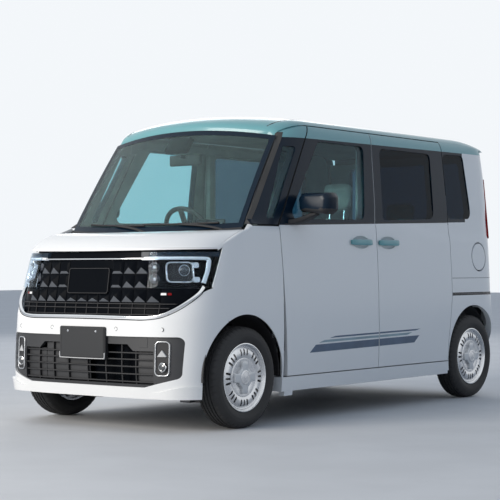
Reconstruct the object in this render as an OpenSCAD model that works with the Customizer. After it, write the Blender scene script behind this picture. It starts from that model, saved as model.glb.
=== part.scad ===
// Tall five-door kei car with front hinged doors and rear sliding doors.
// Millimetres. The front faces -Y, the left side is +X, the ground is Z = 0.

/* [Overall] */
// Length over the bumpers
length = 3395; // [3300:5:3500]
// Width over the door skins
width = 1475; // [1430:5:1520]
// Height of the roof crown
height = 1785; // [1740:5:1840]
// Front end to the front axle
front_overhang = 527; // [515:1:560]
// Rear axle to the rear end
rear_overhang = 373; // [360:1:400]

/* [Wheels] */
// Outer diameter of a tyre
tyre_d = 557; // [530:1:570]
// Width of a tyre
tyre_w = 155; // [145:1:165]
// Bead seat diameter of a rim
rim_d = 355.6; // [330:0.1:360]
// Wheel plane to the widest body line
wheel_inset = 87.5; // [82.5:0.5:97.5]
// Diameter of a wheel arch opening
arch_d = 664; // [640:2:680]
// Diameter of the hub pilot in the wheel bore
hub_d = 60; // [54:0.5:66]
// Pitch circle of the four wheel studs
stud_pcd = 100; // [98:1:112]
// Diameter of a stud hole
stud_d = 12; // [10:0.5:14]
// Spoke slot groups in a rim
slot_groups = 8; // [6:1:9]

/* [Body lines] */
// Lower edge of the sill
sill_z = 180; // [165:1:190]
// Lower edge of the doors
door_z = 267; // [255:1:280]
// Height of the widest body line
widest_z = 500; // [450:5:560]
// Base line of the windows
belt_z = 1120; // [1100:1:1135]
// Rise of the window base line to the rear, in parts of its length
belt_rise = 0.03; // [0:0.005:0.04]
// Start of the roof rounding below the crown
rail_drop = 145; // [135:1:155]
// Fall from the crown to the roof ditch
roof_crown = 40; // [30:1:50]
// Lean of the side windows over their height
side_lean = 35; // [20:1:45]
// Width of the rounded roof edge
roof_edge_w = 95; // [80:1:110]
// Rear edge of the bonnet above the ground
bonnet_z = 1084; // [1070:1:1092]
// Front edge of the bonnet above the ground
bonnet_front_z = 984; // [975:1:990]
// Lower edge of the grille panel
grille_z = 618; // [605:1:640]

/* [Walls] */
// Thickness of doors and side walls
wall_t = 50; // [40:1:60]
// Thickness of the roof
roof_t = 35; // [25:1:45]
// Thickness of outer sheet panels
sheet_t = 5; // [4:0.5:6]
// Thickness of window glass
glass_t = 5; // [4:0.5:6]
// Gap round a hinged panel
gap = 6; // [5:0.5:8]
// Gap at the hinge edge of a front door
hinge_gap = 9; // [8:0.5:11]
// Fit between fixed neighbours
fit = 0.3; // [0.2:0.05:0.5]

/* [Joints] */
// Front door hinge pin diameter
pin_d = 12; // [10:0.5:14]
// Running clearance on a hinge pin
pin_fit = 0.05; // [0.03:0.01:0.1]
// Lean of the steering axis over its height
steer_lean = 80; // [60:1:90]
// Diameter of the steering wheel
steering_d = 370; // [350:1:390]

/* [Hidden] */
$fn = 40;
W = width / 2;
track = width - 2 * wheel_inset;
y_front = -length / 2;
y_rear = length / 2;
y_fa = y_front + front_overhang;
y_ra = y_rear - rear_overhang;
wheelbase = y_ra - y_fa;
tyre_r = tyre_d / 2;
arch_r = arch_d / 2;
rail_z = height - rail_drop;
eave_z = height - roof_crown;
belt_w = W - 22;
rail_w = belt_w - side_lean;
ditch_w = rail_w - roof_edge_w;
nose_c = y_fa + 20;
tail_c = y_ra - 25;
roof_line = rail_z + 71;
door_top = roof_line - gap;

// Front profile by height: setback from the front end, plan exponent
nose = [[150, 32, 4.4], [260, 8, 4.3], [340, 0, 4.1], [grille_z, 4, 3.7], [790, 26, 3.2],
    [bonnet_front_z, 57, 2.7], [belt_z + 40, 110, 2.6]];
// Rear profile by height: setback from the rear end, plan exponent
tail = [[150, 40, 6.5], [260, 10, 6.5], [420, 0, 6.5], [680, 0, 6.5], [720, 14, 6.5],
    [belt_z, 12, 6.2], [rail_z - 140, 28, 6], [rail_z, 44, 5.6], [height + 40, 80, 5]];

function lerp(a, b, t) = a + (b - a) * t;
function clamp01(t) = max(0, min(1, t));
function column(table, c) = [for (r = table) [r[0], r[c]]];
function steps(a, b, n) = [for (i = [0:n]) lerp(a, b, i / n)];
function belt_at(y) = belt_z + belt_rise * (y - y_fa - 320);

// Half width of the body at mid length
function half_w(z) =
    z < widest_z ? W - 14 * pow((widest_z - z) / (widest_z - sill_z), 2)
    : z < belt_z ? lerp(W, belt_w, pow((z - widest_z) / (belt_z - widest_z), 2))
    : z < rail_z ? lerp(belt_w, rail_w, (z - belt_z) / (rail_z - belt_z))
    : ditch_w + roof_edge_w * sqrt(max(0, 1 - pow((z - rail_z) / (eave_z - rail_z), 2)));

// Plan outline of the nose and the tail at one height
function nose_a(z) = nose_c - y_front - lookup(z, column(nose, 1));
function nose_n(z) = lookup(z, column(nose, 2));
function tail_a(z) = y_rear - tail_c - lookup(z, column(tail, 1));
function tail_n(z) = lookup(z, column(tail, 2));
function radius(psi, a, b, n) = pow(pow(abs(sin(psi)) / b, n) + pow(abs(cos(psi)) / a, n), -1 / n);

// Windscreen edge line, roof header and the fall of the roof towards both ends
screen_y = y_fa + 65;
header_run = 360.4;
header_z = rail_z + 10;
header_y = screen_y + header_run;
screen_k = header_run / (header_z - belt_z);
header_len = 260;
function screen_edge(z) = screen_y + screen_k * (z - belt_z);
function front_fall(u) = u < header_len ? 80 * (1 - sqrt(1 - pow(1 - max(u, 0) / header_len, 2))) : 0;
function rear_fall(y) = 48 * pow(max(0, (y - y_ra + 75) / 402), 2);
function fall(y) = front_fall(y - header_y) + rear_fall(y);
function pillar_in(d) = 64 * pow(clamp01(1 - d / header_len), 2.5);

// Outer half width of the body at a length and height
function side_x(y, z) =
    z > belt_z
    ? (half_w(z + fall(y) * clamp01((z - belt_z) / 300)) - pillar_in(y - screen_edge(z))) * tail_k(y, z)
    : half_w(z) * nose_k(y, z) * tail_k(y, z);
function nose_k(y, z) = y >= nose_c ? 1
    : pow(max(0, 1 - pow((nose_c - y) / nose_a(z), nose_n(z))), 1 / nose_n(z));
function tail_k(y, z) = y <= tail_c ? 1
    : pow(max(0, 1 - pow((y - tail_c) / tail_a(z), tail_n(z))), 1 / tail_n(z));

// Heights of the side panels' rows
function heights(z0) = concat(steps(z0, belt_z, 6), [belt_z + 0.4],
    [for (i = [1:4]) lerp(belt_z, rail_z, i / 4)], [rail_z + 30, rail_z + 55, roof_line + 9]);

// Points of the body surfaces at an inset from the skin
side_pt = function(z, y, t) [side_x(y, z) - t, y, z];
nose_pt = function(z, psi, t) let (r = radius(psi, nose_a(z) - t, half_w(z) - t, nose_n(z)))
    [r * sin(psi), nose_c - r * cos(psi), z];
tail_pt = function(z, psi, t) let (r = radius(psi, tail_a(z) - t, half_w(min(z, rail_z)) - t, tail_n(z)))
    [r * sin(psi), tail_c + r * cos(psi), z];

quarter_pt = function(z, p, t) p < 0 ? side_pt(z, tail_c + p, t)
    : let (r = radius(90 - p, tail_a(z) - t, side_x(tail_c, z) - t, tail_n(z)))
        [r * cos(p), tail_c + r * sin(p), z];

// Roof section: crown between the ditches, then the rounded edge
edge_a = asin((roof_line - rail_z) / (eave_z - rail_z));
function roof_sec(c) = abs(c) <= 0.75
    ? [c / 0.75 * ditch_w, eave_z, 0, 1]
    : let (q = (abs(c) - 0.75) / 0.25, f = lerp(90, edge_a, q), s = sign(c), w = 90 * (1 - q))
        [s * (ditch_w + roof_edge_w * cos(f)), rail_z + (eave_z - rail_z) * sin(f), s * cos(w), sin(w)];
function header_at(x) = header_y - 78 * (1 - pow(min(1, abs(x) / (rail_w - 60)), 2));
function crown_at(y, c) = roof_crown * (1 - 0.6 * clamp01((y - y_ra + 250) / 450))
    * max(0, 1 - pow(c / 0.75, 2));
function roof_xyz(y, c, t) =
    let (p = roof_sec(c), u = y - header_at(p[0]), k = (rail_w - pillar_in(u)) / rail_w)
    [p[0] * k - t * p[2], y, p[1] + crown_at(y, c) - front_fall(u) - rear_fall(y) - t * p[3]];
roof_pt = function(v, c, t) roof_xyz(lerp(header_at(roof_sec(c)[0]), roof_end, v), c, t);
lip_pt = function(y, c, t) roof_xyz(y, c, t);
roof_end = y_ra + 262;
roof_rows = [0, 0.008, 0.02, 0.04, 0.07, 0.11, 0.2, 0.4, 0.6, 0.8, 0.87, 0.93, 1];
function roof_edge(v) = let (y = lerp(header_y, roof_end, v)) [y, roof_line - fall(y) - fit];

// Windscreen, bonnet and cowl
screen_w0 = belt_w - 68;
screen_w1 = rail_w - 67;
function screen_base(s) = screen_y - 110 * (1 - s * s);
screen_pt = function(q, s, t)
    [s * lerp(screen_w0, screen_w1, q),
     lerp(screen_base(s), header_y - 78 * (1 - s * s), q) - 44 * q * (1 - q) + 0.83 * t,
     lerp(bonnet_z + 20 * s * s, rail_z + 58 - 52 * s * s, q) - 0.56 * t];
function bonnet_rear(s) = [s * (belt_w - 12), screen_base(s) - 62, bonnet_z - 4 + 8 * s * s];
function bonnet_front(s) = let (psi = 72 * s, r = radius(psi, nose_a(bonnet_front_z) , half_w(bonnet_front_z),
    nose_n(bonnet_front_z))) [r * sin(psi), nose_c - r * cos(psi), bonnet_front_z + 8 * s * s];
bonnet_pt = function(v, s, t) let (f = bonnet_front(s), r = bonnet_rear(s), e = 4.5 - 3.2 * pow(abs(s), 3))
    [lerp(f[0], r[0], v), lerp(f[1], r[1], v), lerp(f[2], r[2], 1 - pow(1 - v, e)) - t];

// Closed panel between an outer and an inner grid of points
module panel(pt, rows, cols, t0, t1) {
    n = len(cols);
    m = len(rows);
    o = n * m;
    points = [for (t = [t0, t1]) for (r = rows) for (c = cols) pt(r, c, t)];
    quads = concat(
        [for (i = [0:m - 2]) for (j = [0:n - 2]) let (k = i * n + j) [k, k + n, k + n + 1, k + 1]],
        [for (i = [0:m - 2]) for (j = [0:n - 2]) let (k = o + i * n + j) [k + 1, k + n + 1, k + n, k]],
        [for (j = [0:n - 2]) [j, j + 1, o + j + 1, o + j]],
        [for (j = [0:n - 2]) let (k = (m - 1) * n + j) [k + 1, k, o + k, o + k + 1]],
        [for (i = [0:m - 2]) [(i + 1) * n, i * n, o + i * n, o + (i + 1) * n]],
        [for (i = [0:m - 2]) [i * n + n - 1, i * n + 2 * n - 1, o + i * n + 2 * n - 1, o + i * n + n - 1]]);
    polyhedron(points, [for (i = [0:len(quads) - 1]) let (q = quads[i], k = (i + floor(i / (n - 1))) % 2)
        each [[q[k], q[k + 1], q[k + 2]], [q[k], q[k + 2], q[(k + 3) % 4]]]]);
}

// Outline with each edge moved inwards, corners rounded
function unit(v) = v / norm(v);
function moved(p, d) = let (n = len(p)) [for (i = [0:n - 1])
    let (a = p[(i + n - 1) % n], b = p[i], c = p[(i + 1) % n],
        u = unit(b - a), v = unit(c - b), nu = [-u[1], u[0]], nv = [-v[1], v[0]], k = 1 + nu * nv)
    b + (nu + nv) * d / k];
function rounded(p, r) = let (n = len(p)) [for (i = [0:n - 1])
    let (b = p[i], u = unit(p[(i + n - 1) % n] - b), v = unit(p[(i + 1) % n] - b), w = acos(u * v) / 2,
        m = b + unit(u + v) * r / sin(w), s = b + u * r / tan(w) - m, e = b + v * r / tan(w) - m,
        a0 = atan2(s[1], s[0]), da = atan2(s[0] * e[1] - s[1] * e[0], s * e))
    for (k = [0:3]) m + r * [cos(a0 + da * k / 3), sin(a0 + da * k / 3)]];

// Prisms along X from a side view outline, and along Y from a front view outline
module side_prism(p, x0 = 400, x1 = 1000) translate([x0, 0, 0])
    rotate([90, 0, 90]) linear_extrude(x1 - x0) polygon(p);
module front_prism(p, y0, y1) translate([0, y1, 0]) rotate([90, 0, 0]) linear_extrude(y1 - y0) polygon(p);
module box(x0, x1, y0, y1, z0, z1) translate([x0, y0, z0]) cube([x1 - x0, y1 - y0, z1 - z0]);
module rod(p, q, r) {
    d = q - p;
    translate(p) rotate([0, acos(d[2] / norm(d)), atan2(d[1], d[0])]) cylinder(h = norm(d), r = r);
}
module pair() {
    children();
    mirror([1, 0, 0]) children();
}
module hand(s) mirror([s < 0 ? 1 : 0, 0, 0]) children();

// Side view outlines, anticlockwise
door_y0 = y_fa + 371;
door_y1 = y_fa + 321;
door_yt = y_fa + 668;
split_y = y_fa + 0.527 * wheelbase;
slide_y1 = y_ra - 294;
slide_yt = y_ra - 340;
door_line = [[door_y0, door_z], [split_y - gap / 2, door_z], [split_y - gap / 2, door_top],
    [door_yt, door_top], [door_y1, belt_z - 8]];
door_window = [[door_y1 + 95, belt_z + 38], [split_y - 120, belt_at(split_y) + 20],
    [split_y - 90, rail_z - 20], [door_yt + 75, rail_z - 20]];
slide_line = [[split_y + gap / 2, door_z], [y_ra - 340, door_z], [y_ra - 338, 390], [slide_y1 + 6, 690],
    [slide_y1, belt_z + 40], [slide_yt, door_top], [split_y + gap / 2, door_top]];
slide_window = [[split_y + 87, belt_at(split_y) + 22], [slide_y1 - 184, belt_at(slide_y1) + 18],
    [slide_y1 - 192, rail_z - 20], [split_y + 87, rail_z - 20]];
quarter_window = [[slide_y1 + 2, belt_at(slide_y1) + 24], [y_ra + 15, belt_at(y_ra) + 22],
    [y_ra - 55, rail_z - 6], [slide_yt + 14, rail_z - 12]];
front_window = [[screen_y + 150, belt_z + 32], [door_y1 - 46, belt_z + 40],
    [screen_edge(rail_z - 60) + 155, rail_z - 62], [screen_edge(rail_z - 60) + 62, rail_z - 62]];
fender_edge = [[y_fa - 174, bonnet_front_z + 6], [y_fa - 262, 777], [y_fa - 165, 600]];
bumper_z = 688;
floor_z = 214;
beam_x = track / 2 - 278;
lamp_y = y_ra + 283;
lamp_z0 = belt_z - 40;
lamp_z1 = rail_z - 150;
tail_w = rail_w - 75.5;
lid_c = [y_ra + 88, 951];
lid_r = 90;
lid_t = 8;
lid_gap = 10;
lid_x = side_x(lid_c[0], lid_c[1]);
lid_pin = [side_x(lid_c[0] - lid_r + 8, lid_c[1]) - 1.5, lid_c[0] - lid_r + 8];
rail_slot = [slide_y1 + 12, y_ra + 300, 692, 712];
hinge_x = W - 30;
hinge_y = door_y1 + 70;
hinge_zs = [430, 860];
hinge_h = 50;

module arch(y) translate([0, y, tyre_r + 14]) rotate([0, 90, 0])
    cylinder(h = 1000, r = arch_r, $fn = 128);
module wheelhouse(x, h, r) translate([track / 2 - x, y_ra, tyre_r + 14]) rotate([0, 90, 0])
    cylinder(h = h, r = r);

// Fixed body
module floor_pan() color("#55585c") {
    floor_x = side_x(0, 180) - 92 - fit;
    fw = y_fa + 350;
    difference() {
        union() {
            box(-floor_x, floor_x, fw, y_ra - 325, 200, floor_z);
            box(-floor_x, floor_x, y_ra - 325, y_ra - 313, 200, 440);
            box(-floor_x, floor_x, y_ra - 325, y_ra + 290, 428, 440);
            box(-floor_x, floor_x, y_ra + 278, y_ra + 290, 330, 600);
            rotate([90, 0, 90]) translate([0, 0, -floor_x]) linear_extrude(2 * floor_x)
                polygon([[fw, 200], [fw + 12, 200], [fw + 12, 640], [screen_y + 42, 900],
                    [screen_y + 42, 1050], [screen_y + 30, 1050], [screen_y + 30, 895], [fw, 632]]);
            pair() box(beam_x - 72, beam_x, y_front + 130, fw + 6, 450, 560);
            box(-beam_x, beam_x, y_front + 95, y_front + 131, 450, 560);
            pair() box(beam_x, beam_x + 148, y_fa - 40, y_fa + 40, 800, 830);
            pair() box(beam_x, beam_x + 28, y_fa - 40, y_fa + 40, 450, 830);
            pair() box(beam_x, beam_x + 28, y_fa - 40, screen_y + 36, 770, 830);
            pair() intersection() {
                wheelhouse(105, 105, arch_r + 14);
                box(0, 690, y_ra - 400, y_ra + 290, 340, 800);
            }
        }
        pair() wheelhouse(99, 200, arch_r + 8);
        pair() translate([steer_q[0], y_fa, 780]) cylinder(h = 70, d = 48);
        translate([-330, y_front + 94, 463]) rotate([-90, 0, 0]) cylinder(h = 31, d = 16);
    }
}

module cowl() color("#26282b") {
    panel(function(v, s, t) let (a = bonnet_rear(s), b = screen_pt(0, s, 0))
        [lerp(a[0], b[0], v), lerp(a[1] + 9, b[1] - 0.5, v), lerp(a[2] - 8, b[2] - 1, v) - t],
        [0, 0.5, 1], steps(-0.85, 0.85, 12), 0, 40);
    pair() translate([570, hood_axis[0], hood_axis[1]]) rotate([0, 90, 0]) cylinder(h = 74, r = 6);
    box(-480, 480, screen_y - 190, screen_y + 30 - fit, 1010, 1042);
}

module body_side(s) color("#e9e9e6") hand(s) {
    ring_w = side_x(0, rail_z) - wall_t - 10;
    quarter = [[slide_yt + 5, 200], [y_ra + 100, 200], [y_ra + 100, bumper_z], [y_rear + 60, bumper_z],
        [y_rear + 60, roof_line - 64], each [for (v = [1, 0.93, 0.87, 0.8]) roof_edge(v)],
        [slide_yt + gap, roof_line - fit], [slide_y1 + gap, belt_z + 40], [slide_y1 + 6 + gap, 690],
        [y_ra - 338 + gap, 390]];
    pillar = [[screen_edge(belt_z) + 17, belt_z + 2], [door_y1 - hinge_gap, belt_z + 2],
        [door_y1 - hinge_gap + 2, belt_z + 8], [door_yt - hinge_gap, roof_edge(0.07)[1]],
        each [for (v = [0.07, 0.04, 0.02, 0.008]) roof_edge(v)], roof_edge(0) + [2, -2],
        [screen_edge(belt_z + 180) + 6.4, belt_z + 180], [screen_edge(belt_z + 80) + 11, belt_z + 80]];
    difference() {
        union() {
            intersection() {
                panel(quarter_pt, concat([sill_z + 20], heights(bumper_z - 18)),
                    concat([slide_yt - 40 - tail_c, 0, 6, 11, 15], steps(19, 36, 6)), 0, wall_t);
                side_prism(quarter);
                box(tail_w + gap, 1000, 900, y_rear + 60, 0, 2000);
            }
            panel(side_pt, [sill_z, 220, door_z - gap], [y_fa + 322, split_y, y_ra - 332], 0, 92);
            intersection() {
                panel(side_pt, concat(steps(belt_z + 1, rail_z, 8), steps(rail_z + 14, roof_line + 16, 5)),
                    steps(screen_y - 30, door_yt + 20, 12), 0, wall_t);
                side_prism(pillar);
            }
            box(ring_w - 40, ring_w, door_yt - 160, y_ra - 120, rail_z - 10, rail_z + 36);
            box(ring_w - 40, ring_w + 20, door_yt - 160, door_yt - 95, rail_z - 50, rail_z + 20);
            box(ring_w - 40, ring_w + 25, y_ra - 250, y_ra - 120, rail_z - 5, rail_z + 30);
            box(ring_w - 40, ring_w, split_y - 30, split_y + 30, floor_z + fit, rail_z);
            box(ring_w - 40, ring_w + 50, split_y - 30, split_y + 30, floor_z + fit, door_z - gap);
            box(hinge_x - 130, hinge_x - 90, hinge_y - 26, hinge_y + 40, floor_z + fit, belt_z - 20);
            box(hinge_x - 130, hinge_x - 50, hinge_y - 26, hinge_y + 40, floor_z + fit, door_z - gap);
            box(hinge_x - 130, hinge_x - 90, door_y1 - 130, hinge_y + 40, belt_z - 60, belt_z + 6);
            box(hinge_x - 130, hinge_x - 36, door_y1 - 130, door_y1 - 20, belt_z - 20, belt_z + 14);
            for (z = hinge_zs) {
                translate([hinge_x, hinge_y, z]) cylinder(h = hinge_h, d = pin_d + 8);
                translate([hinge_x, hinge_y, z - 20]) cylinder(h = hinge_h + 40, d = pin_d);
                box(hinge_x - 92, hinge_x, hinge_y - 8, hinge_y + 8, z, z + hinge_h);
            }
        }
        arch(y_ra);
        side_prism(rounded(quarter_window, 40));
        side_prism(rounded(front_window, 14));
        side_prism([[lamp_y, lamp_z0], [y_rear + 60, lamp_z0], [y_rear + 60, lamp_z1], [lamp_y, lamp_z1]]);
        if (s > 0) translate([lid_x - 34, lid_c[0], lid_c[1]]) rotate([0, 90, 0])
            cylinder(h = 60, r = lid_r + lid_gap);
        box(side_x(0, 700) - 16, 900, rail_slot[0], rail_slot[1], rail_slot[2], rail_slot[3]);
    }
    if (s > 0) {
        translate([lid_pin[0], lid_pin[1], lid_c[1] - 54]) cylinder(h = 108, r = 3);
        for (z = [lid_c[1] - 58, lid_c[1] + 50])
            box(lid_x - 38, lid_pin[0] + 3, lid_pin[1] - 4, lid_pin[1] + 4, z, z + 8);
    }
}

module roof() color("#a9c9c0") {
    panel(roof_pt, roof_rows,
        concat(steps(-1, -0.75, 4), steps(-0.6, 0.6, 8), steps(0.75, 1, 4)), 0, roof_t);
    for (x = gate_pins) {
        translate([x - 18, gate_axis[1], gate_axis[2]]) rotate([0, 90, 0]) cylinder(h = 76, r = 4);
        translate([x, gate_axis[1], gate_axis[2]]) rotate([0, 90, 0]) cylinder(h = 40, r = 7);
        box(x, x + 40, roof_end - 20, gate_axis[1], gate_axis[2] - 6, gate_axis[2] + 4);
    }
}

module front_fenders() color("#e9e9e6") pair() difference() {
    intersection() {
        panel(side_pt, [240, 340, 450, 560, 660, 777, 880, bonnet_front_z + 6, 1040, belt_z - 2],
            concat(steps(y_fa - 300, nose_c, 8), [y_fa + 160, y_fa + 330]), 0, sheet_t);
        side_prism([[y_fa + 300, door_z - gap], [door_y0 - hinge_gap, door_z - gap],
            [door_y1 - hinge_gap, belt_z - 8], [screen_y + 10, belt_z - 10], [y_fa + 5, bonnet_z - 2],
            each fender_edge, [y_fa, 400]]);
    }
    arch(y_fa - 12);
}

intake_w = W - 96;
intake_line = rounded([[215 - intake_w, 242], [intake_w - 215, 242], [intake_w - 10, 296], [intake_w, 512],
    [-intake_w, 512], [10 - intake_w, 296]], 20);
module front_bumper() color("#e9e9e6") {
    pair() box(beam_x - 62, beam_x - 10, y_front + 34, y_front + 94.7, 515, 556);
    difference() {
        intersection() {
            panel(nose_pt, [sill_z, 240, 300, 380, 480, 560, grille_z, 700, 790], steps(-81, 81, 30), 0, 30);
            front_prism([[-800, 0], [800, 0], [800, 790], [700, 768], [560, grille_z + 12],
                [490, grille_z - fit], [-490, grille_z - fit], [-560, grille_z + 12], [-700, 768],
                [-800, 790]], y_front - 50, y_fa - 100);
            translate([-1000, 0, 0]) side_prism([[y_front - 60, 0], [fender_edge[2][0] - fit, 0],
                fender_edge[2] - [fit, 0], fender_edge[1] - [fit, 0], [y_front - 60, 790]], 0, 2000);
        }
        pair() arch(y_fa - 12);
        front_prism(intake_line, y_front - 50, y_fa - 300);
        box(-1000, 1000, y_fa - 345, y_fa + 50, 0, 245);
    }
}

module lower_intake() color("#2b2d30") difference() {
    intersection() {
        panel(nose_pt, [230, 300, 380, 480, 520], steps(-66, 66, 20), 12, 36);
        front_prism(moved(intake_line, fit), y_front - 50, y_fa - 300);
    }
    for (i = [0:4]) box(-430, 430, y_front - 50, y_fa - 300, 284 + 42 * i, 306 + 42 * i);
}

// Grille panel with rows of pyramids round a bare middle plate
lamp_top = bonnet_front_z - 12 - gap;
tile_w = 82;
tile_h = 75;
tile_z = grille_z + 75;
tile_d = 16;
function face_pt(z, x, t) = let (n = nose_n(z), w = half_w(z) - t)
    [x, nose_c - (nose_a(z) - t) * pow(1 - pow(abs(x) / w, n), 1 / n), z];
module pyramids(x0, columns, z0, rows) panel(function(i, j, t)
    face_pt(z0 + i * tile_h / 2, x0 + j * tile_w / 2, t > 0 ? 36 : 22 - (i % 2) * (j % 2) * tile_d),
    steps(0, 2 * rows, 2 * rows), steps(0, 2 * columns, 2 * columns), 0, 1);
module grille() color("#17181a") {
    intersection() {
        panel(nose_pt, [600, 700, 790, 880, 990], steps(-80, 80, 24), 24, 46);
        front_prism([[-490, grille_z], [490, grille_z], [560, grille_z + 12 + fit], [690, 762], [600, 770],
            [420, 770], [405, lamp_top], [-405, lamp_top], [-420, 770], [-600, 770], [-690, 762],
            [-560, grille_z + 12 + fit]], y_front - 50, y_fa - 100);
    }
    pyramids(-6 * tile_w, 12, tile_z, 1);
    for (x = [-4.95 * tile_w, 1.95 * tile_w]) pyramids(x, 3, tile_z + tile_h + 3, 2);
    panel(function(z, x, t) face_pt(z, x, t), steps(tile_z + tile_h + 4, tile_z + 2.4 * tile_h, 2),
        steps(-150, 150, 6), 20, 36);
}

module headlamps() color("#c9d2d6") pair() intersection() {
    panel(nose_pt, [740, 790, 880, 1000], steps(20, 84, 18), 2, 60);
    front_prism([[420.3, 770.3], [600, 770.3], [690, 770.6], [800, 791], [800, lamp_top],
        [405.3, lamp_top]], y_front - 50, y_fa - 100);
    side_prism([[y_front - 60, 700], fender_edge[1] - [fit, 40], fender_edge[1] - [fit, 0],
        fender_edge[0] - [fit, 0], fender_edge[0] + [0, 60], [y_front - 60, 1100]], 0, 1000);
}

module windscreen() color("#33414a") panel(screen_pt, steps(0, 0.985, 5), steps(-1, 1, 12), 0, glass_t);

hood_axis = [screen_y - 55, bonnet_z - 20];
module bonnet() color("#e9e9e6") difference() {
    union() {
        panel(bonnet_pt, [0, 0.05, 0.12, 0.22, 0.36, 0.55, 0.78, 1], steps(-1, 1, 20), 0, 12);
        pair() box(612, 640, screen_y - 140, hood_axis[0] + 13, hood_axis[1] - 13, hood_axis[1] + 12);
    }
    translate([-660, hood_axis[0], hood_axis[1]]) rotate([0, 90, 0]) cylinder(h = 1320, r = 6 + pin_fit);
}

module side_glass() color("#2e3a40") {
    pair() intersection() {
        panel(side_pt, steps(belt_z + 10, rail_z, 6), steps(screen_y - 20, door_y1 + 300, 8),
            14, 14 + glass_t);
        side_prism(moved(rounded(front_window, 14), fit));
    }
    pair() intersection() {
        panel(side_pt, steps(belt_z, rail_z, 5), [split_y, slide_y1], 14, 14 + glass_t);
        side_prism(moved(rounded(slide_window, 40), fit));
    }
    pair() intersection() {
        panel(side_pt, steps(belt_z, rail_z + 20, 5),
            [slide_yt - 20, y_ra - 160, tail_c, y_ra + 10, y_ra + 60], 14, 14 + glass_t);
        side_prism(moved(rounded(quarter_window, 40), fit));
    }
}

module slide_doors() color("#e9e9e6") pair() {
    difference() {
        intersection() {
            panel(side_pt, heights(door_z - 27), [split_y - 40, slide_y1 + 60], 0, wall_t);
            side_prism(slide_line);
        }
        side_prism(rounded(slide_window, 40));
    }
    x = side_x(0, 300);
    box(x - 40, x - 20, split_y + 200, split_y + 300, door_z - gap + fit, door_z + 20);
}

// Hinged front door, its glass, mirror and handle
module door(s) color("#e9e9e6") hand(s) difference() {
    intersection() {
        panel(side_pt, heights(door_z - 27), concat(steps(door_y1 - 30, door_yt + 60, 6), [split_y + 40]),
            0, wall_t);
        side_prism(door_line);
        translate([hinge_x, hinge_y, 0]) cylinder(h = 2000, r = split_y - gap / 2 - hinge_y, $fn = 160);
    }
    side_prism(rounded(door_window, 40));
    for (z = hinge_zs) {
        box(hinge_x - 90, hinge_x + pin_d, door_y1 - 40, hinge_y + pin_d, z - 6, z + hinge_h + 6);
        translate([hinge_x, hinge_y, z - 21]) cylinder(h = hinge_h + 42, d = pin_d + 2 * pin_fit);
    }
}

module door_glass(s) color("#33414a") hand(s) intersection() {
    panel(side_pt, steps(belt_z, rail_z, 5), concat(steps(door_y1, door_yt + 60, 5), [split_y]),
        14, 14 + glass_t);
    side_prism(moved(rounded(door_window, 40), fit));
}

module door_mirror(s) color("#1b1c1e") hand(s) {
    foot_y = door_y1 + 150;
    x = side_x(0, belt_z - 40) + fit;
    hull() for (q = [[72, 84, 14], [196, 84, 26], [70, 154, 30], [204, 154, 32]])
        translate([x + q[0], foot_y - 20, belt_z + q[1]]) rotate([-90, 0, 0]) {
            translate([0, 0, 8]) cylinder(h = 20, r = q[2] - 8, $fn = 16);
            translate([0, 0, 50]) cylinder(h = 44, r = q[2], $fn = 16);
        }
    hull() {
        box(x, x + 6, foot_y + 4, foot_y + 80, belt_z - 40, belt_z - 2);
        box(x + 62, x + 120, foot_y + 22, foot_y + 66, belt_z + 62, belt_z + 76);
    }
}

module door_handle(s, y0) color("#a9c9c0") hand(s) {
    z = belt_z - 106;
    x = side_x(0, z) + fit;
    box(x + 8, x + 24, y0, y0 + 225, z, z + 36);
    for (y = [y0 + 6, y0 + 185]) box(x, x + 10, y, y + 34, z + 4, z + 32);
}

// Tailgate, its glass, rear lamps and bumper
gate_z = bumper_z + gap;
gate_axis = [0, roof_end + 21, roof_xyz(roof_end + 21, 0.385, 11)[2]];
gate_pins = [-320, 280];
gate_window = [[115 - tail_w, belt_z + 40], [tail_w - 115, belt_z + 40], [tail_w - 135, rail_z - 30],
    [135 - tail_w, rail_z - 30]];
module tailgate() color("#e9e9e6") difference() {
    union() {
        intersection() {
            panel(tail_pt, concat([bumper_z - 8], steps(bumper_z + 32, belt_z, 3),
                [for (i = [1:3]) lerp(belt_z, rail_z, i / 3)], [roof_line - 11]), steps(72, -72, 24), 0, 45);
            front_prism([[-tail_w, gate_z], [tail_w, gate_z], [tail_w, lamp_z1 - 10],
                [tail_w - 10, roof_line - 21], [-tail_w + 10, roof_line - 21], [-tail_w, lamp_z1 - 10]],
                tail_c, y_rear + 60);
        }
        panel(lip_pt, steps(roof_end + 17, y_rear - 28, 3),
            concat([-0.77, -0.74], steps(-0.6, 0.6, 8), [0.74, 0.77]), 0, 32);
    }
    box(-800, 800, roof_end - 300, roof_end + 17, rail_z, height + 100);
    for (x = gate_pins) {
        box(x - 8, x + 48, roof_end, gate_axis[1] + 13, gate_axis[2] - 60, gate_axis[2] + 40);
        translate([x - 20, gate_axis[1], gate_axis[2]]) rotate([0, 90, 0]) cylinder(h = 80, r = 4 + pin_fit);
    }
    front_prism(rounded(gate_window, 50), tail_c, y_rear + 60);
}

module tailgate_glass() color("#2e3a40") intersection() {
    panel(tail_pt, steps(belt_z, rail_z, 5), steps(60, -60, 10), 10, 10 + glass_t);
    front_prism(moved(rounded(gate_window, 50), fit), tail_c, y_rear + 60);
}

module rear_bumper() color("#e9e9e6") difference() {
    intersection() {
        panel(tail_pt, [220, 280, 420, 560, 680, 695],
            concat(steps(86, 72, 4), steps(66, -66, 24), steps(-72, -86, 4)), 0, 30);
        box(-1000, 1000, y_ra + 100 + fit, y_rear + 60, 0, bumper_z - fit);
    }
    pair() arch(y_ra);
}

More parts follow.
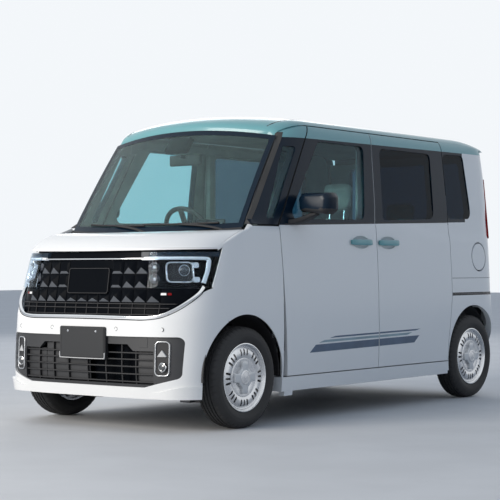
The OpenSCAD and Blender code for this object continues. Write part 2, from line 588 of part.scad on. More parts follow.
module tail_lamps() color("#8f1d22") pair() intersection() {
    panel(tail_pt, steps(lamp_z0 - 30, lamp_z1 + 30, 4), steps(74, 44, 8), -8, 44);
    box(tail_w + gap, 1000, lamp_y + fit, y_rear + 60, lamp_z0 + fit, lamp_z1 - fit);
}

// Cabin
seat_l = 0.2 * wheelbase;
back_z = rail_z - 440;
module dashboard() color("#35363a") {
    dash_w = belt_w - 150.5;
    rotate([90, 0, 90]) translate([0, 0, -dash_w]) linear_extrude(2 * dash_w)
        polygon([[screen_y + 42.3, 908], [screen_y + 250, 714], [screen_y + 330, 700], [screen_y + 400, 820],
            [screen_y + 430, 1000], [screen_y + 380, 1090], [screen_y + 60, 1130], [screen_y + 42.3, 1100]]);
    rod(wheel_c - 330 * wheel_d, wheel_c - 10 * wheel_d, 15);
    rod(wheel_c - 330 * wheel_d, wheel_c - 62 * wheel_d, 34);
}

module front_seats() color("#b9b4aa") pair() {
    y = split_y - 0.93 * seat_l;
    b = y + 0.94 * seat_l;
    rotate([90, 0, 90]) translate([0, 0, 60]) linear_extrude(belt_w - 225.5)
        polygon(rounded([[y, 560], [b + 30, 530], [b + 90, 600], [b + 220, back_z - 20], [b + 120, back_z],
            [b, 700], [y, 690]], 30));
    hull() {
        box(190, 420, b + 130, b + 210, back_z + 40, back_z + 200);
        box(210, 400, b + 150, b + 220, back_z + 30, back_z + 230);
    }
    for (x = [250, 360]) rod([x, b + 160, back_z - 50], [x, b + 180, back_z + 60], 7);
    for (x = [120, 440]) box(x, x + 50, y + 60, b - 50, floor_z + fit, 560);
}

module rear_seat() color("#b9b4aa") {
    b = y_ra - 370;
    y = b - 0.86 * seat_l;
    top = back_z - 60;
    bench_w = belt_w - 195.5;
    rotate([90, 0, 90]) translate([0, 0, -bench_w]) linear_extrude(2 * bench_w)
        polygon(rounded([[y, 540], [b + 30, 500], [b + 100, 560], [b + 220, top - 20], [b + 130, top],
            [b, 660], [y, 670]], 30));
    for (x = [-400, 350]) box(x, x + 50, y + 60, b - 30, floor_z + fit, 545);
    pair() {
        box(150, 390, b + 145, b + 215, top + 50, top + 180);
        for (x = [220, 320]) rod([x, b + 170, top - 30], [x, b + 180, top + 70], 7);
    }
}

wheel_c = [375.5 - belt_w, y_fa + 776, belt_z - 20];
wheel_d = [0, sin(62), cos(62)];
module steering_wheel() color("#202124") translate(wheel_c) rotate([-62, 0, 0]) difference() {
    union() {
        rotate_extrude($fn = 48) translate([steering_d / 2 - 15, 0]) circle(r = 15, $fn = 20);
        translate([0, 0, -50]) cylinder(h = 70, r = 60);
        for (a = [0, 180, 270]) rotate(a) translate([20, -17, -9]) cube([steering_d / 2 - 35, 34, 14]);
    }
    translate([0, 0, -51]) cylinder(h = 42, r = 15 + pin_fit);
}

// Running gear
module engine() color("#6e7276") box(72 - beam_x, beam_x - 72, y_fa - 290, y_fa + 90, 330, 860);

steer_p = [track / 2 - 80, y_fa, 160];
steer_q = [track / 2 - 80 - steer_lean, y_fa, 820];
steer_a = unit(steer_q - steer_p);
module front_suspension() color("#3a3c3f") {
    pair() difference() {
        union() {
            translate(steer_p + [0, 0, -36]) cylinder(h = 30, r = 26);
            box(beam_x - 52, steer_p[0], y_fa - 22, y_fa + 22, 126, 150);
            box(beam_x - 72, beam_x, y_fa - 60, y_fa + 60, 126, 450 - fit);
        }
        rod(steer_p - 60 * steer_a, steer_p + 40 * steer_a, 11 + pin_fit);
    }
}

hub_face = track / 2 + 45;
module knuckle(s) color("#4a4d50") hand(s) {
    a = steer_a;
    rod(steer_p, steer_q - 10 * a, 20);
    rod(steer_p - 34 * a, steer_p + 10 * a, 11);
    translate([steer_p[0] - 30, y_fa, tyre_r]) rotate([0, 90, 0])
        cylinder(h = hub_face - steer_p[0] + 38, d = hub_d - 2 * pin_fit);
    translate([hub_face - 18, y_fa, tyre_r]) rotate([0, 90, 0]) cylinder(h = 18 - fit, r = 68);
}

module rear_axle() color("#3a3c3f") {
    translate([-hub_face - 8, y_ra, tyre_r]) rotate([0, 90, 0])
        cylinder(h = 2 * hub_face + 16, d = hub_d - 2 * pin_fit);
    pair() {
        translate([hub_face - 18, y_ra, tyre_r]) rotate([0, 90, 0]) cylinder(h = 18 - fit, r = 68);
        box(track / 2 - 210, track / 2 - 150, y_ra - 310, y_ra + 20, 250, 310);
        box(track / 2 - 210, track / 2 - 150, y_ra - 313 + fit, y_ra - 250, 250, 428 - fit);
    }
}

// Wheel profiles: distance from the wheel plane outwards, radius
module tyre(y, s) color("#1d1e20") translate([s * track / 2, y, tyre_r]) rotate([0, s * 90, 0]) {
    h = tyre_w / 2;
    b = rim_d / 2 + fit;
    rotate_extrude($fn = 72) polygon([[b, 19.5 - h], [b + 10.5, 19.5 - h], [b + 16, 11 - h], [b + 50, -h],
        [tyre_r - 26, -h + 6], [tyre_r - 9, -h + 17], [tyre_r - 2, -h + 32], [tyre_r, -h + 50],
        [tyre_r, h - 50], [tyre_r - 2, h - 32], [tyre_r - 9, h - 17], [tyre_r - 26, h - 6], [b + 50, h],
        [b + 16, h - 11], [b + 10.5, h - 19.5], [b, h - 19.5], [b, h - 36], [b + 30, h - 16], [tyre_r - 16, h - 30],
        [tyre_r - 16, 30 - h], [b + 30, 16 - h], [b, 36 - h]]);
}

module rim(y, s) color("#c4c7ca") translate([s * track / 2, y, tyre_r]) rotate([0, s * 90, 0]) {
    h = tyre_w / 2 - 13;
    r = rim_d / 2;
    difference() {
        union() {
            rotate_extrude($fn = 72) polygon([[r + 10, h], [r + 10, h - 6], [r, h - 6], [r, 6 - h],
                [r + 10, 6 - h], [r + 10, -h], [r - 6, -h], [r - 7, h - 40], [r - 12, h - 22], [70, 45],
                [hub_d / 2, 45], [hub_d / 2, 57], [70, 57], [r - 30, h - 6], [r - 6, h]]);
            translate([0, 0, 55]) cylinder(h = 14, r = 58);
            for (i = [0:3]) rotate(90 * i) translate([0, -25, 55]) cube([89, 50, 12]);
        }
        for (i = [0:slot_groups - 1]) for (j = [-1:1]) rotate(i * 360 / slot_groups + j * 11)
            translate([r - 57, -6, 0]) cube([37, 12, 100]);
        for (i = [0:3]) rotate(45 + 90 * i) translate([stud_pcd / 2, 0, 40]) cylinder(h = 14, d = stud_d);
    }
}

module fuel_lid() color("#e9e9e6") difference() {
    intersection() {
        panel(side_pt, steps(840, 1060, 4), steps(lid_c[0] - 110, lid_c[0] + 110, 6), 0, lid_t);
        translate([0, lid_c[0], lid_c[1]]) rotate([0, 90, 0]) cylinder(h = 1000, r = lid_r);
    }
    translate([lid_pin[0], lid_pin[1], lid_c[1] - 60]) cylinder(h = 120, r = 3 + pin_fit);
}

module fuel_tank() color("#2f3134") box(-400, 100, y_ra - 900, y_ra - 420, 140, 199.7);

module exhaust() color("#8b8f92") {
    rod([200, y_fa + 100, 165], [200, y_ra + 100, 165], 22);
    box(150, 400, y_ra + 60, y_ra + 250, 150, 290);
    box(190, 210, y_fa + 40, y_fa + 110, 160, 330 - fit);
    for (y = [-500, 400]) box(190, 210, y, y + 20, 170, 199.7);
}

floor_pan();
cowl();
body_side(1);  // body_side_left
body_side(-1);  // body_side_right
roof();
front_fenders();
front_bumper();
lower_intake();
grille();
headlamps();
windscreen();
bonnet();
side_glass();
slide_doors();
pair() door_handle(1, split_y + 15);  // slide_door_handles
door(1);  // door_left
door(-1);  // door_right
door_glass(1);  // door_glass_left
door_glass(-1);  // door_glass_right
door_mirror(1);  // door_mirror_left
door_mirror(-1);  // door_mirror_right
door_handle(1, split_y - 290);  // door_handle_left
door_handle(-1, split_y - 290);  // door_handle_right
tailgate();
tailgate_glass();
rear_bumper();
tail_lamps();
dashboard();
front_seats();
rear_seat();
steering_wheel();
engine();
front_suspension();
knuckle(1);  // knuckle_left
knuckle(-1);  // knuckle_right
rear_axle();
tyre(y_fa, 1);  // tyre_fl
tyre(y_fa, -1);  // tyre_fr
tyre(y_ra, 1);  // tyre_rl
tyre(y_ra, -1);  // tyre_rr
rim(y_fa, 1);  // rim_fl
rim(y_fa, -1);  // rim_fr
rim(y_ra, 1);  // rim_rl
rim(y_ra, -1);  // rim_rr
fuel_lid();
fuel_tank();
exhaust();
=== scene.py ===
"""Looks of a tall kei car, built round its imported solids. Lengths are in millimetres until a mesh is made."""

import math

import bmesh
import bpy
from mathutils import Matrix, Vector


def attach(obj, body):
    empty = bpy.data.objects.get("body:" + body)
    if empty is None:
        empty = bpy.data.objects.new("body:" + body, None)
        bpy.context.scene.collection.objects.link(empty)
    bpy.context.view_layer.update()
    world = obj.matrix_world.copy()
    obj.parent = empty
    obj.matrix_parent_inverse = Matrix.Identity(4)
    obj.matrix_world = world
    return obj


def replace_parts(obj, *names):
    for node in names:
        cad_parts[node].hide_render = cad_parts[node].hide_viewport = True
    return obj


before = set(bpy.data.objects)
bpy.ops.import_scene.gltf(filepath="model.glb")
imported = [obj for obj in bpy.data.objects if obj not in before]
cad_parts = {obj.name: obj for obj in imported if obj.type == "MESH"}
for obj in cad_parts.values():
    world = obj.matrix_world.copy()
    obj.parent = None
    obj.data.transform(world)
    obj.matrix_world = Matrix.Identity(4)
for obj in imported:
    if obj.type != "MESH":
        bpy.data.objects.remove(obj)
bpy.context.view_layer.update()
MM = 0.001
SIDES = ((1, "left"), (-1, "right"))

# Driving sizes, as in the part's source
length, width, height = 3395, 1475, 1785
front_overhang, rear_overhang = 527, 373
tyre_d, tyre_w, rim_d, wheel_inset, arch_d = 557, 155, 355.6, 87.5, 664
sill_z, door_z, widest_z, belt_z, belt_rise = 180, 267, 500, 1120, 0.03
bonnet_z, bonnet_front_z, grille_z = 1084, 984, 618
wall_t, roof_t, sheet_t, glass_t, gap, hinge_gap, fit = 50, 35, 5, 5, 6, 9, 0.3

# Derived sizes, as in the part's source
W = width / 2
y_front, y_rear = -length / 2, length / 2
y_fa = y_front + front_overhang
y_ra = y_rear - rear_overhang
wheelbase, track = y_ra - y_fa, width - 2 * wheel_inset
tyre_r, arch_r = tyre_d / 2, arch_d / 2
rail_z, eave_z = height - 145, height - 40
belt_w = W - 22
rail_w = belt_w - 35
roof_edge_w = 95
ditch_w = rail_w - roof_edge_w
nose_c, tail_c = y_fa + 20, y_ra - 25
roof_line = rail_z + 71
door_top = roof_line - gap
screen_y, header_run, header_len = y_fa + 65, 360.4, 260
header_z = rail_z + 10
header_y = screen_y + header_run
screen_k = header_run / (header_z - belt_z)
roof_end = y_ra + 262
door_y0, door_y1, door_yt = y_fa + 371, y_fa + 321, y_fa + 668
split_y = y_fa + 0.527 * wheelbase
slide_y1, slide_yt = y_ra - 294, y_ra - 340
bumper_z, tail_w = 688, 605
lamp_y, lamp_z0, lamp_z1 = y_ra + 283, 1080, 1490
lid_c, lid_r, lid_gap = (y_ra + 88, 951), 90, 10
lamp_top = bonnet_front_z - 12 - gap
hinge_x, hinge_y, hinge_zs = W - 30, door_y1 + 70, (430, 860)
handle_z = belt_z - 88
front_arch, rear_arch = (y_fa - 12, tyre_r + 14), (y_ra, tyre_r + 14)

# Shape of the surfaces
mint_z, mint_rise = 1637, 0.0098
header_drop, tail_drop, tail_run = 80, 48, 402
pillar_tuck, header_bow, roof_crown, roof_flat = 64, 78, 40, 0.75
crease_depth, crease_rear_z, bonnet_turn = 7, 1083, 72

# Reach of the cutting tools
past_rear, far_x, far_z = y_rear + 60, 1000, 2000
nose_cut = (y_front - 50, y_fa - 100)

# Front and rear profiles by height: height, setback from the end, plan exponent
NOSE = [(150, 32, 4.4), (260, 8, 4.3), (340, 0, 4.1), (grille_z, 4, 3.7), (790, 26, 3.2),
        (bonnet_front_z, 57, 2.7), (belt_z + 40, 110, 2.6)]
TAIL = [(150, 40, 6.5), (260, 10, 6.5), (420, 0, 6.5), (680, 0, 6.5), (720, 14, 6.5),
        (belt_z, 12, 6.2), (1500, 28, 6), (rail_z, 44, 5.6), (height + 40, 80, 5)]


def lerp(a, b, t):
    return a + (b - a) * t


def clamp01(t):
    return max(0.0, min(1.0, t))


def smooth(t):
    t = clamp01(t)
    return t * t * (3 - 2 * t)


def steps(a, b, n):
    return [lerp(a, b, i / n) for i in range(n + 1)]


def lookup(z, table, column):
    if z <= table[0][0]:
        return table[0][column]
    for low, high in zip(table, table[1:]):
        if z <= high[0]:
            return lerp(low[column], high[column], (z - low[0]) / (high[0] - low[0]))
    return table[-1][column]


# Body surfaces
def belt_at(y):
    return belt_z + belt_rise * (y - y_fa - 320)


def mint_at(y):
    """Lower edge of the roof colour along the side."""
    return mint_z + mint_rise * y


def half_w(z):
    if z < widest_z:
        return W - 14 * ((widest_z - z) / (widest_z - sill_z)) ** 2
    if z < belt_z:
        return lerp(W, belt_w, ((z - widest_z) / (belt_z - widest_z)) ** 2)
    if z < rail_z:
        return lerp(belt_w, rail_w, (z - belt_z) / (rail_z - belt_z))
    return ditch_w + roof_edge_w * math.sqrt(max(0, 1 - ((z - rail_z) / (eave_z - rail_z)) ** 2))


def nose_a(z):
    return nose_c - y_front - lookup(z, NOSE, 1)


def nose_n(z):
    return lookup(z, NOSE, 2)


def tail_a(z):
    return y_rear - tail_c - lookup(z, TAIL, 1)


def tail_n(z):
    return lookup(z, TAIL, 2)


def radius(psi, a, b, n):
    s, c = abs(math.sin(psi)), abs(math.cos(psi))
    return ((s / b) ** n + (c / a) ** n) ** (-1 / n)


def screen_edge(z):
    return screen_y + screen_k * (z - belt_z)


def front_fall(u):
    if u >= header_len:
        return 0
    return header_drop * (1 - math.sqrt(1 - (1 - max(u, 0) / header_len) ** 2))


def rear_fall(y):
    return tail_drop * max(0, (y - y_ra + 75) / tail_run) ** 2


def fall(y):
    return front_fall(y - header_y) + rear_fall(y)


def pillar_in(d):
    return pillar_tuck * clamp01(1 - d / header_len) ** 2.5


def nose_k(y, z):
    if y >= nose_c:
        return 1
    return max(0, 1 - ((nose_c - y) / nose_a(z)) ** nose_n(z)) ** (1 / nose_n(z))


def tail_k(y, z):
    if y <= tail_c:
        return 1
    return max(0, 1 - ((y - tail_c) / tail_a(z)) ** tail_n(z)) ** (1 / tail_n(z))


def side_x(y, z):
    if z > belt_z:
        lean = clamp01((z - belt_z) / 300)
        return (half_w(z + fall(y) * lean) - pillar_in(y - screen_edge(z))) * tail_k(y, z)
    return half_w(z) * nose_k(y, z) * tail_k(y, z)


def crease(y, z):
    """Inset of the side above its shoulder line, which drops behind the rear wheel arch's front."""
    line = lerp(belt_at(y) - 26, crease_rear_z, smooth((y - 560) / 260))
    return crease_depth * smooth((z - line) / 14) * smooth((belt_at(y) + 120 - z) / 110)


def side_pt(z, y, t):
    return (side_x(y, z) - crease(y, z) - t, y, z)


def nose_pt(z, psi, t):
    r = radius(psi, nose_a(z) - t, half_w(z) - t, nose_n(z))
    return (r * math.sin(psi), nose_c - r * math.cos(psi), z)


def tail_pt(z, psi, t):
    r = radius(psi, tail_a(z) - t, half_w(min(z, rail_z)) - t, tail_n(z))
    return (r * math.sin(psi), tail_c + r * math.cos(psi), z)


def quarter_pt(z, p, t):
    if p < 0:
        return side_pt(z, tail_c + p, t)
    a = math.radians(p)
    r = radius(math.pi / 2 - a, tail_a(z) - t, side_x(tail_c, z) - t, tail_n(z))
    y = tail_c + r * math.sin(a)
    return (r * math.cos(a) - crease(y, z), y, z)


edge_a = math.asin((roof_line - rail_z) / (eave_z - rail_z))


def roof_sec(c):
    """Roof section at -1 to 1 across: place, height and outward direction."""
    if abs(c) <= roof_flat:
        return (c / roof_flat * ditch_w, eave_z, 0, 1)
    q = (abs(c) - roof_flat) / (1 - roof_flat)
    f, w, s = lerp(math.pi / 2, edge_a, q), math.pi / 2 * (1 - q), math.copysign(1, c)
    return (s * (ditch_w + roof_edge_w * math.cos(f)), rail_z + (eave_z - rail_z) * math.sin(f),
            s * math.cos(w), math.sin(w))


def header_at(x):
    return header_y - header_bow * (1 - min(1, abs(x) / (rail_w - 60)) ** 2)


def crown_at(y, c):
    return roof_crown * (1 - 0.6 * clamp01((y - y_ra + 250) / 450)) * max(0, 1 - (c / roof_flat) ** 2)


def roof_xyz(y, c, t):
    x, z, nx, nz = roof_sec(c)
    u = y - header_at(x)
    k = (rail_w - pillar_in(u)) / rail_w
    return (x * k - t * nx, y, z + crown_at(y, c) - front_fall(u) - rear_fall(y) - t * nz)


def roof_pt(v, c, t):
    return roof_xyz(lerp(header_at(roof_sec(c)[0]), roof_end, v), c, t)


def screen_base(s):
    return screen_y - 110 * (1 - s * s)


def screen_pt(q, s, t):
    return (s * lerp(belt_w - 68, rail_w - 67, q),
            lerp(screen_base(s), header_y - header_bow * (1 - s * s), q) - 44 * q * (1 - q) + 0.83 * t,
            lerp(bonnet_z + 20 * s * s, rail_z + 58 - 52 * s * s, q) - 0.56 * t)


def bonnet_pt(v, s, t):
    psi = math.radians(bonnet_turn * s)
    r = radius(psi, nose_a(bonnet_front_z), half_w(bonnet_front_z), nose_n(bonnet_front_z))
    front = (r * math.sin(psi), nose_c - r * math.cos(psi), bonnet_front_z + 8 * s * s)
    rear = (s * (belt_w - 12), screen_base(s) - 62, bonnet_z - 4 + 8 * s * s)
    e = 4.5 - 3.2 * abs(s) ** 3
    return (lerp(front[0], rear[0], v), lerp(front[1], rear[1], v),
            lerp(front[2], rear[2], 1 - (1 - v) ** e) - t)


def sided(s, pt):
    """A surface function of the left side, or mirrored to the right."""
    def placed(a, b, t):
        x, y, z = pt(a, b, t)
        return (s * x, y, z)
    return placed


# Outlines
def rect(x0, y0, x1, y1):
    return [(x0, y0), (x1, y0), (x1, y1), (x0, y1)]


def rounded(points, r, n=6):
    out = []
    for i, b in enumerate(points):
        b = Vector(b)
        u = (Vector(points[i - 1]) - b).normalized()
        v = (Vector(points[(i + 1) % len(points)]) - b).normalized()
        w = math.acos(max(-1, min(1, u.dot(v)))) / 2
        m = b + (u + v).normalized() * (r / math.sin(w))
        s, e = b + u * (r / math.tan(w)) - m, b + v * (r / math.tan(w)) - m
        turn = math.atan2(s.x * e.y - s.y * e.x, s.dot(e))
        for k in range(n + 1):
            out.append(tuple(m + Matrix.Rotation(turn * k / n, 2) @ s))
    return out


def inset(points, d):
    """An anticlockwise outline with each edge moved inwards."""
    out = []
    for i, b in enumerate(points):
        a, b, c = Vector(points[i - 1]), Vector(b), Vector(points[(i + 1) % len(points)])
        u, v = (b - a).normalized(), (c - b).normalized()
        nu, nv = Vector((-u.y, u.x)), Vector((-v.y, v.x))
        out.append(tuple(b + (nu + nv) * d / (1 + nu.dot(nv))))
    return out


def roof_edge(v):
    y = lerp(header_y, roof_end, v)
    return (y, roof_line - fall(y) - fit)


door_line = [(door_y0, door_z), (split_y - gap / 2, door_z), (split_y - gap / 2, door_top),
             (door_yt, door_top), (door_y1, belt_z - 8)]
door_window = [(door_y1 + 95, belt_z + 38), (split_y - 120, belt_at(split_y) + 20),
               (split_y - 90, rail_z - 20), (door_yt + 75, rail_z - 20)]
slide_line = [(split_y + gap / 2, door_z), (y_ra - 340, door_z), (y_ra - 338, 390), (slide_y1 + 6, 690),
              (slide_y1, belt_z + 40), (slide_yt, door_top), (split_y + gap / 2, door_top)]
slide_window = [(split_y + 87, belt_at(split_y) + 22), (slide_y1 - 184, belt_at(slide_y1) + 18),
                (slide_y1 - 192, rail_z - 20), (split_y + 87, rail_z - 20)]
quarter_window = [(slide_y1 + 2, belt_at(slide_y1) + 24), (y_ra + 15, belt_at(y_ra) + 22),
                  (y_ra - 55, rail_z - 6), (slide_yt + 14, rail_z - 12)]
front_window = [(screen_y + 150, belt_z + 32), (door_y1 - 46, belt_z + 40),
                (screen_edge(rail_z - 60) + 155, rail_z - 62), (screen_edge(rail_z - 60) + 62, rail_z - 62)]
fender_edge = [(y_fa - 174, bonnet_front_z + 6), (y_fa - 262, 777), (y_fa - 165, 600)]
intake_w = W - 96
intake_line = [(215 - intake_w, 242), (intake_w - 215, 242), (intake_w - 10, 296), (intake_w, 512),
               (-intake_w, 512), (10 - intake_w, 296)]
gate_window = [(115 - tail_w, belt_z + 40), (tail_w - 115, belt_z + 40), (tail_w - 135, rail_z - 30),
               (135 - tail_w, rail_z - 30)]


# Materials
def shader(name, color, rough, metal=0.0, coat=0.0, specular=0.5):
    mat = bpy.data.materials.new(name)
    mat.use_nodes = True
    bsdf = mat.node_tree.nodes["Principled BSDF"]
    bsdf.inputs["Base Color"].default_value = (*color, 1)
    bsdf.inputs["Roughness"].default_value = rough
    bsdf.inputs["Metallic"].default_value = metal
    bsdf.inputs["Coat Weight"].default_value = coat
    bsdf.inputs["Coat Roughness"].default_value = 0.03
    bsdf.inputs["Specular IOR Level"].default_value = specular
    mat.diffuse_color = (*color, 1)
    return mat


def noise(mat, scale, detail=3.0):
    nodes, links = mat.node_tree.nodes, mat.node_tree.links
    place = nodes.new("ShaderNodeTexCoord")
    tex = nodes.new("ShaderNodeTexNoise")
    tex.inputs["Scale"].default_value = scale
    tex.inputs["Detail"].default_value = detail
    links.new(place.outputs["Object"], tex.inputs["Vector"])
    return tex


def vary(mat, socket, scale, low, high):
    """Noise between two values, or two colours, on one socket of the shader."""
    nodes, links = mat.node_tree.nodes, mat.node_tree.links
    tex = noise(mat, scale)
    ramp = nodes.new("ShaderNodeValToRGB")
    ramp.color_ramp.elements[0].position = 0.35
    ramp.color_ramp.elements[1].position = 0.65
    ends = [(*v, 1) if isinstance(v, tuple) else (v, v, v, 1) for v in (low, high)]
    ramp.color_ramp.elements[0].color, ramp.color_ramp.elements[1].color = ends
    links.new(tex.outputs["Fac"], ramp.inputs["Fac"])
    links.new(ramp.outputs["Color"], nodes["Principled BSDF"].inputs[socket])
    return mat


def bumpy(mat, scale, depth, strength=0.3, detail=3.0):
    nodes, links = mat.node_tree.nodes, mat.node_tree.links
    tex = noise(mat, scale, detail)
    bump = nodes.new("ShaderNodeBump")
    bump.inputs["Strength"].default_value = strength
    bump.inputs["Distance"].default_value = depth
    links.new(tex.outputs["Fac"], bump.inputs["Height"])
    links.new(bump.outputs["Normal"], nodes["Principled BSDF"].inputs["Normal"])
    return mat


def shade(color, k):
    return tuple(clamp01(c * k) for c in color)


def paint(name, color):
    """Clear-coated paint with a fine flake and faint orange peel."""
    mat = shader(name, color, 0.34, coat=0.55, specular=0.3)
    mat.node_tree.nodes["Principled BSDF"].inputs["Coat Roughness"].default_value = 0.14
    vary(mat, "Base Color", 900, shade(color, 0.985), shade(color, 1.015))
    return bumpy(mat, 60, 0.0004, 0.04, 1.0)


def plastic(name, color, rough, grain=1200, depth=0.0002, strength=0.25):
    mat = shader(name, color, rough)
    vary(mat, "Base Color", 7, shade(color, 0.88), shade(color, 1.12))
    return bumpy(mat, grain, depth, strength)


def metal(name, color, rough):
    mat = shader(name, color, rough, metal=1.0)
    vary(mat, "Roughness", 40, rough * 0.8, rough * 1.25)
    return bumpy(mat, 500, 0.0001, 0.12)


def woven(name, color):
    """Cloth with two crossed sets of threads."""
    mat = shader(name, color, 0.9, specular=0.2)
    vary(mat, "Base Color", 9, shade(color, 0.92), shade(color, 1.08))
    nodes, links = mat.node_tree.nodes, mat.node_tree.links
    place, bump = nodes.new("ShaderNodeTexCoord"), nodes.new("ShaderNodeBump")
    cross = nodes.new("ShaderNodeMath")
    cross.operation = "MULTIPLY"
    for i, way in enumerate(("X", "Z")):
        wave = nodes.new("ShaderNodeTexWave")
        wave.bands_direction = way
        wave.inputs["Scale"].default_value = 126
        links.new(place.outputs["Object"], wave.inputs["Vector"])
        links.new(wave.outputs["Fac"], cross.inputs[i])
    bump.inputs["Strength"].default_value = 0.35
    bump.inputs["Distance"].default_value = 0.0008
    links.new(cross.outputs[0], bump.inputs["Height"])
    links.new(bump.outputs["Normal"], nodes["Principled BSDF"].inputs["Normal"])
    return mat


def glossy(name, color, rough, scale, low, high, **looks):
    """A smooth surface whose roughness varies a little."""
    return vary(shader(name, color, rough, **looks), "Roughness", scale, low, high)


def glass(name, color, transmission, rough=0.02, coat=0.25):
    mat = shader(name, color, rough, specular=0.3)
    bsdf = mat.node_tree.nodes["Principled BSDF"]
    bsdf.inputs["Transmission Weight"].default_value = transmission
    bsdf.inputs["IOR"].default_value = 1.1
    bsdf.inputs["Coat Weight"].default_value = coat
    return vary(mat, "Roughness", 6, rough * 0.6, rough * 1.4)


white = paint("white paint", (0.80, 0.80, 0.79))
mint = paint("mint paint", (0.14, 0.36, 0.385))
# The blue in this black's base colour is painted sky reflection.
black = glossy("gloss black", (0.004, 0.013, 0.026), 0.22, 5, 0.18, 0.26, specular=0.18)
deep_black = glossy("deep black", (0.004, 0.005, 0.007), 0.3, 5, 0.26, 0.34, specular=0.015)
# Painted light: a lighter grey for the lower facets of the grille pyramids, standing for the light they catch.
lit_facet_grey = plastic("painted lit facet grey", (0.075, 0.082, 0.094), 0.42, 900, 0.0001, 0.1)
guide_white = glossy("light guide", (0.86, 0.88, 0.89), 0.25, 30, 0.2, 0.3, coat=0.5)
lens = glossy("lamp lens", (0.03, 0.035, 0.04), 0.06, 12, 0.04, 0.08, coat=1.0, specular=0.8)
plate_dark = bumpy(shader("plate sheet", (0.012, 0.013, 0.015), 0.4), 800, 0.0001, 0.15)
# Pale grey: the real lower frame of the number plate, and painted light on the intake's lit facet.
plate_edge_and_lit_facet = glossy("plate edge and painted lit facet", (0.5, 0.5, 0.5), 0.35, 20, 0.3, 0.4)
pillar_grey = plastic("matte pillar strip", (0.055, 0.053, 0.05), 0.75, 700, 0.0003, 0.3)
mirror_silver = metal("mirror glass", (0.85, 0.86, 0.87), 0.03)
cap_silver = glossy("pale wheel cap", (0.60, 0.61, 0.62), 0.3, 30, 0.29, 0.32, metal=0.35, coat=0.5)
slate = plastic("slate stripe", (0.075, 0.115, 0.18), 0.5, 900, 0.0001, 0.1)
slate_pale = plastic("pale stripe", (0.24, 0.33, 0.37), 0.5, 900, 0.0001, 0.1)
lamp_amber = glass("smoked lamp cover", (0.5, 0.42, 0.36), 0.6, 0.06)
plastic_black = plastic("grained black plastic", (0.013, 0.013, 0.015), 0.6)
plastic_grey = plastic("dark grey plastic", (0.026, 0.027, 0.03), 0.55)
# Dark rubber: real seals, ditch and window strips, and painted shade on the cut faces at the panel gaps and in
# the body-line groove.
seal_and_gap_shade = plastic("rubber seal and painted gap shade", (0.03, 0.03, 0.032), 0.7, 300)
trim_light = plastic("headlining", (0.42, 0.41, 0.38), 0.85, 400, 0.0006, 0.4)
trim_dark = plastic("grained cabin plastic", (0.05, 0.05, 0.055), 0.6, 500, 0.0004, 0.4)
trim_tan = plastic("tan trim", (0.36, 0.22, 0.12), 0.6, 420, 0.0005, 0.4)
clear_glass = glass("clear green glass", (0.62, 0.82, 0.82), 0.97)
dark_glass = glass("dark tinted glass", (0.03, 0.075, 0.12), 0.95, coat=0.12)
lamp_glass = glass("clear lamp cover", (0.80, 0.89, 0.97), 1.0, coat=0.06)
door_glass = glass("blue green glass", (0.38, 0.67, 0.75), 0.98)
red_glass = glass("red lamp cover", (0.42, 0.012, 0.016), 0.55, 0.06)
chrome = metal("bright chrome", (0.82, 0.83, 0.84), 0.07)
dark_chrome = metal("dark chrome", (0.13, 0.135, 0.15), 0.12)
silver = metal("silver wheel paint", (0.62, 0.63, 0.65), 0.28)
polished = metal("polished rim edge", (0.78, 0.79, 0.80), 0.14)
steel = metal("dark steel", (0.16, 0.16, 0.17), 0.5)
cast = bumpy(metal("cast metal", (0.30, 0.31, 0.32), 0.6), 260, 0.0015, 0.5)
under = plastic("underbody coat", (0.05, 0.052, 0.055), 0.8, 160, 0.0012, 0.5)
rubber = plastic("tyre rubber", (0.022, 0.022, 0.023), 0.75, 260, 0.0005, 0.35)
fabric = woven("seat cloth", (0.50, 0.47, 0.42))
# The edge zone colours the cut and inner faces of the skins dark, as painted shade in the shut lines.
SKINS = [white, black, mint, trim_light, seal_and_gap_shade]
WHITE_ZONE, BLACK_ZONE, MINT_ZONE, INNER_ZONE, EDGE_ZONE = range(5)

# Slot of each material unless a call names another; piece() works it out but gives the piece no slot
SLOTS = {"black_plastic": (plastic_black, plastic_grey, plate_dark, seal_and_gap_shade, pillar_grey, slate, slate_pale),
         "black_gloss": (black, deep_black), "body_white": (white,), "roof_mint": (mint,),
         "rim_silver": (chrome, dark_chrome, silver, polished, plate_edge_and_lit_facet, mirror_silver),
         "lamp_clear": (guide_white, lamp_glass), "lamp_red": (red_glass,), "steel_dark": (steel,),
         "glass_clear": (clear_glass, door_glass), "glass_dark": (dark_glass, lens),
         "cabin_plastic": (trim_dark, trim_light, trim_tan), "seat_cloth": (fabric,)}
SLOT_OF = {mat.name: slot for slot, mats in SLOTS.items() for mat in mats}


# Mesh building
def piece(name, verts, faces, mats, indices=None, body="body", smooth_deg=32, slot=None):
    mesh = bpy.data.meshes.new(name)
    mesh.from_pydata([(x * MM, y * MM, z * MM) for x, y, z in verts], [], faces)
    for m in mats:
        mesh.materials.append(m)
    if indices:
        mesh.polygons.foreach_set("material_index", indices)
    obj = bpy.data.objects.new(name, mesh)
    bpy.context.scene.collection.objects.link(obj)
    outward(mesh)
    soften(mesh, smooth_deg)
    if body:
        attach(obj, body)
        slot or SLOT_OF[mats[0].name]
    return obj


def outward(mesh):
    bm = bmesh.new()
    bm.from_mesh(mesh)
    bmesh.ops.recalc_face_normals(bm, faces=bm.faces)
    bm.to_mesh(mesh)
    bm.free()


def soften(mesh, degrees):
    mesh.shade_smooth()
    mesh.set_sharp_from_angle(angle=math.radians(degrees))


def grid(rows, cols):
    return [(i, j) for i in range(len(rows) - 1) for j in range(len(cols) - 1)]


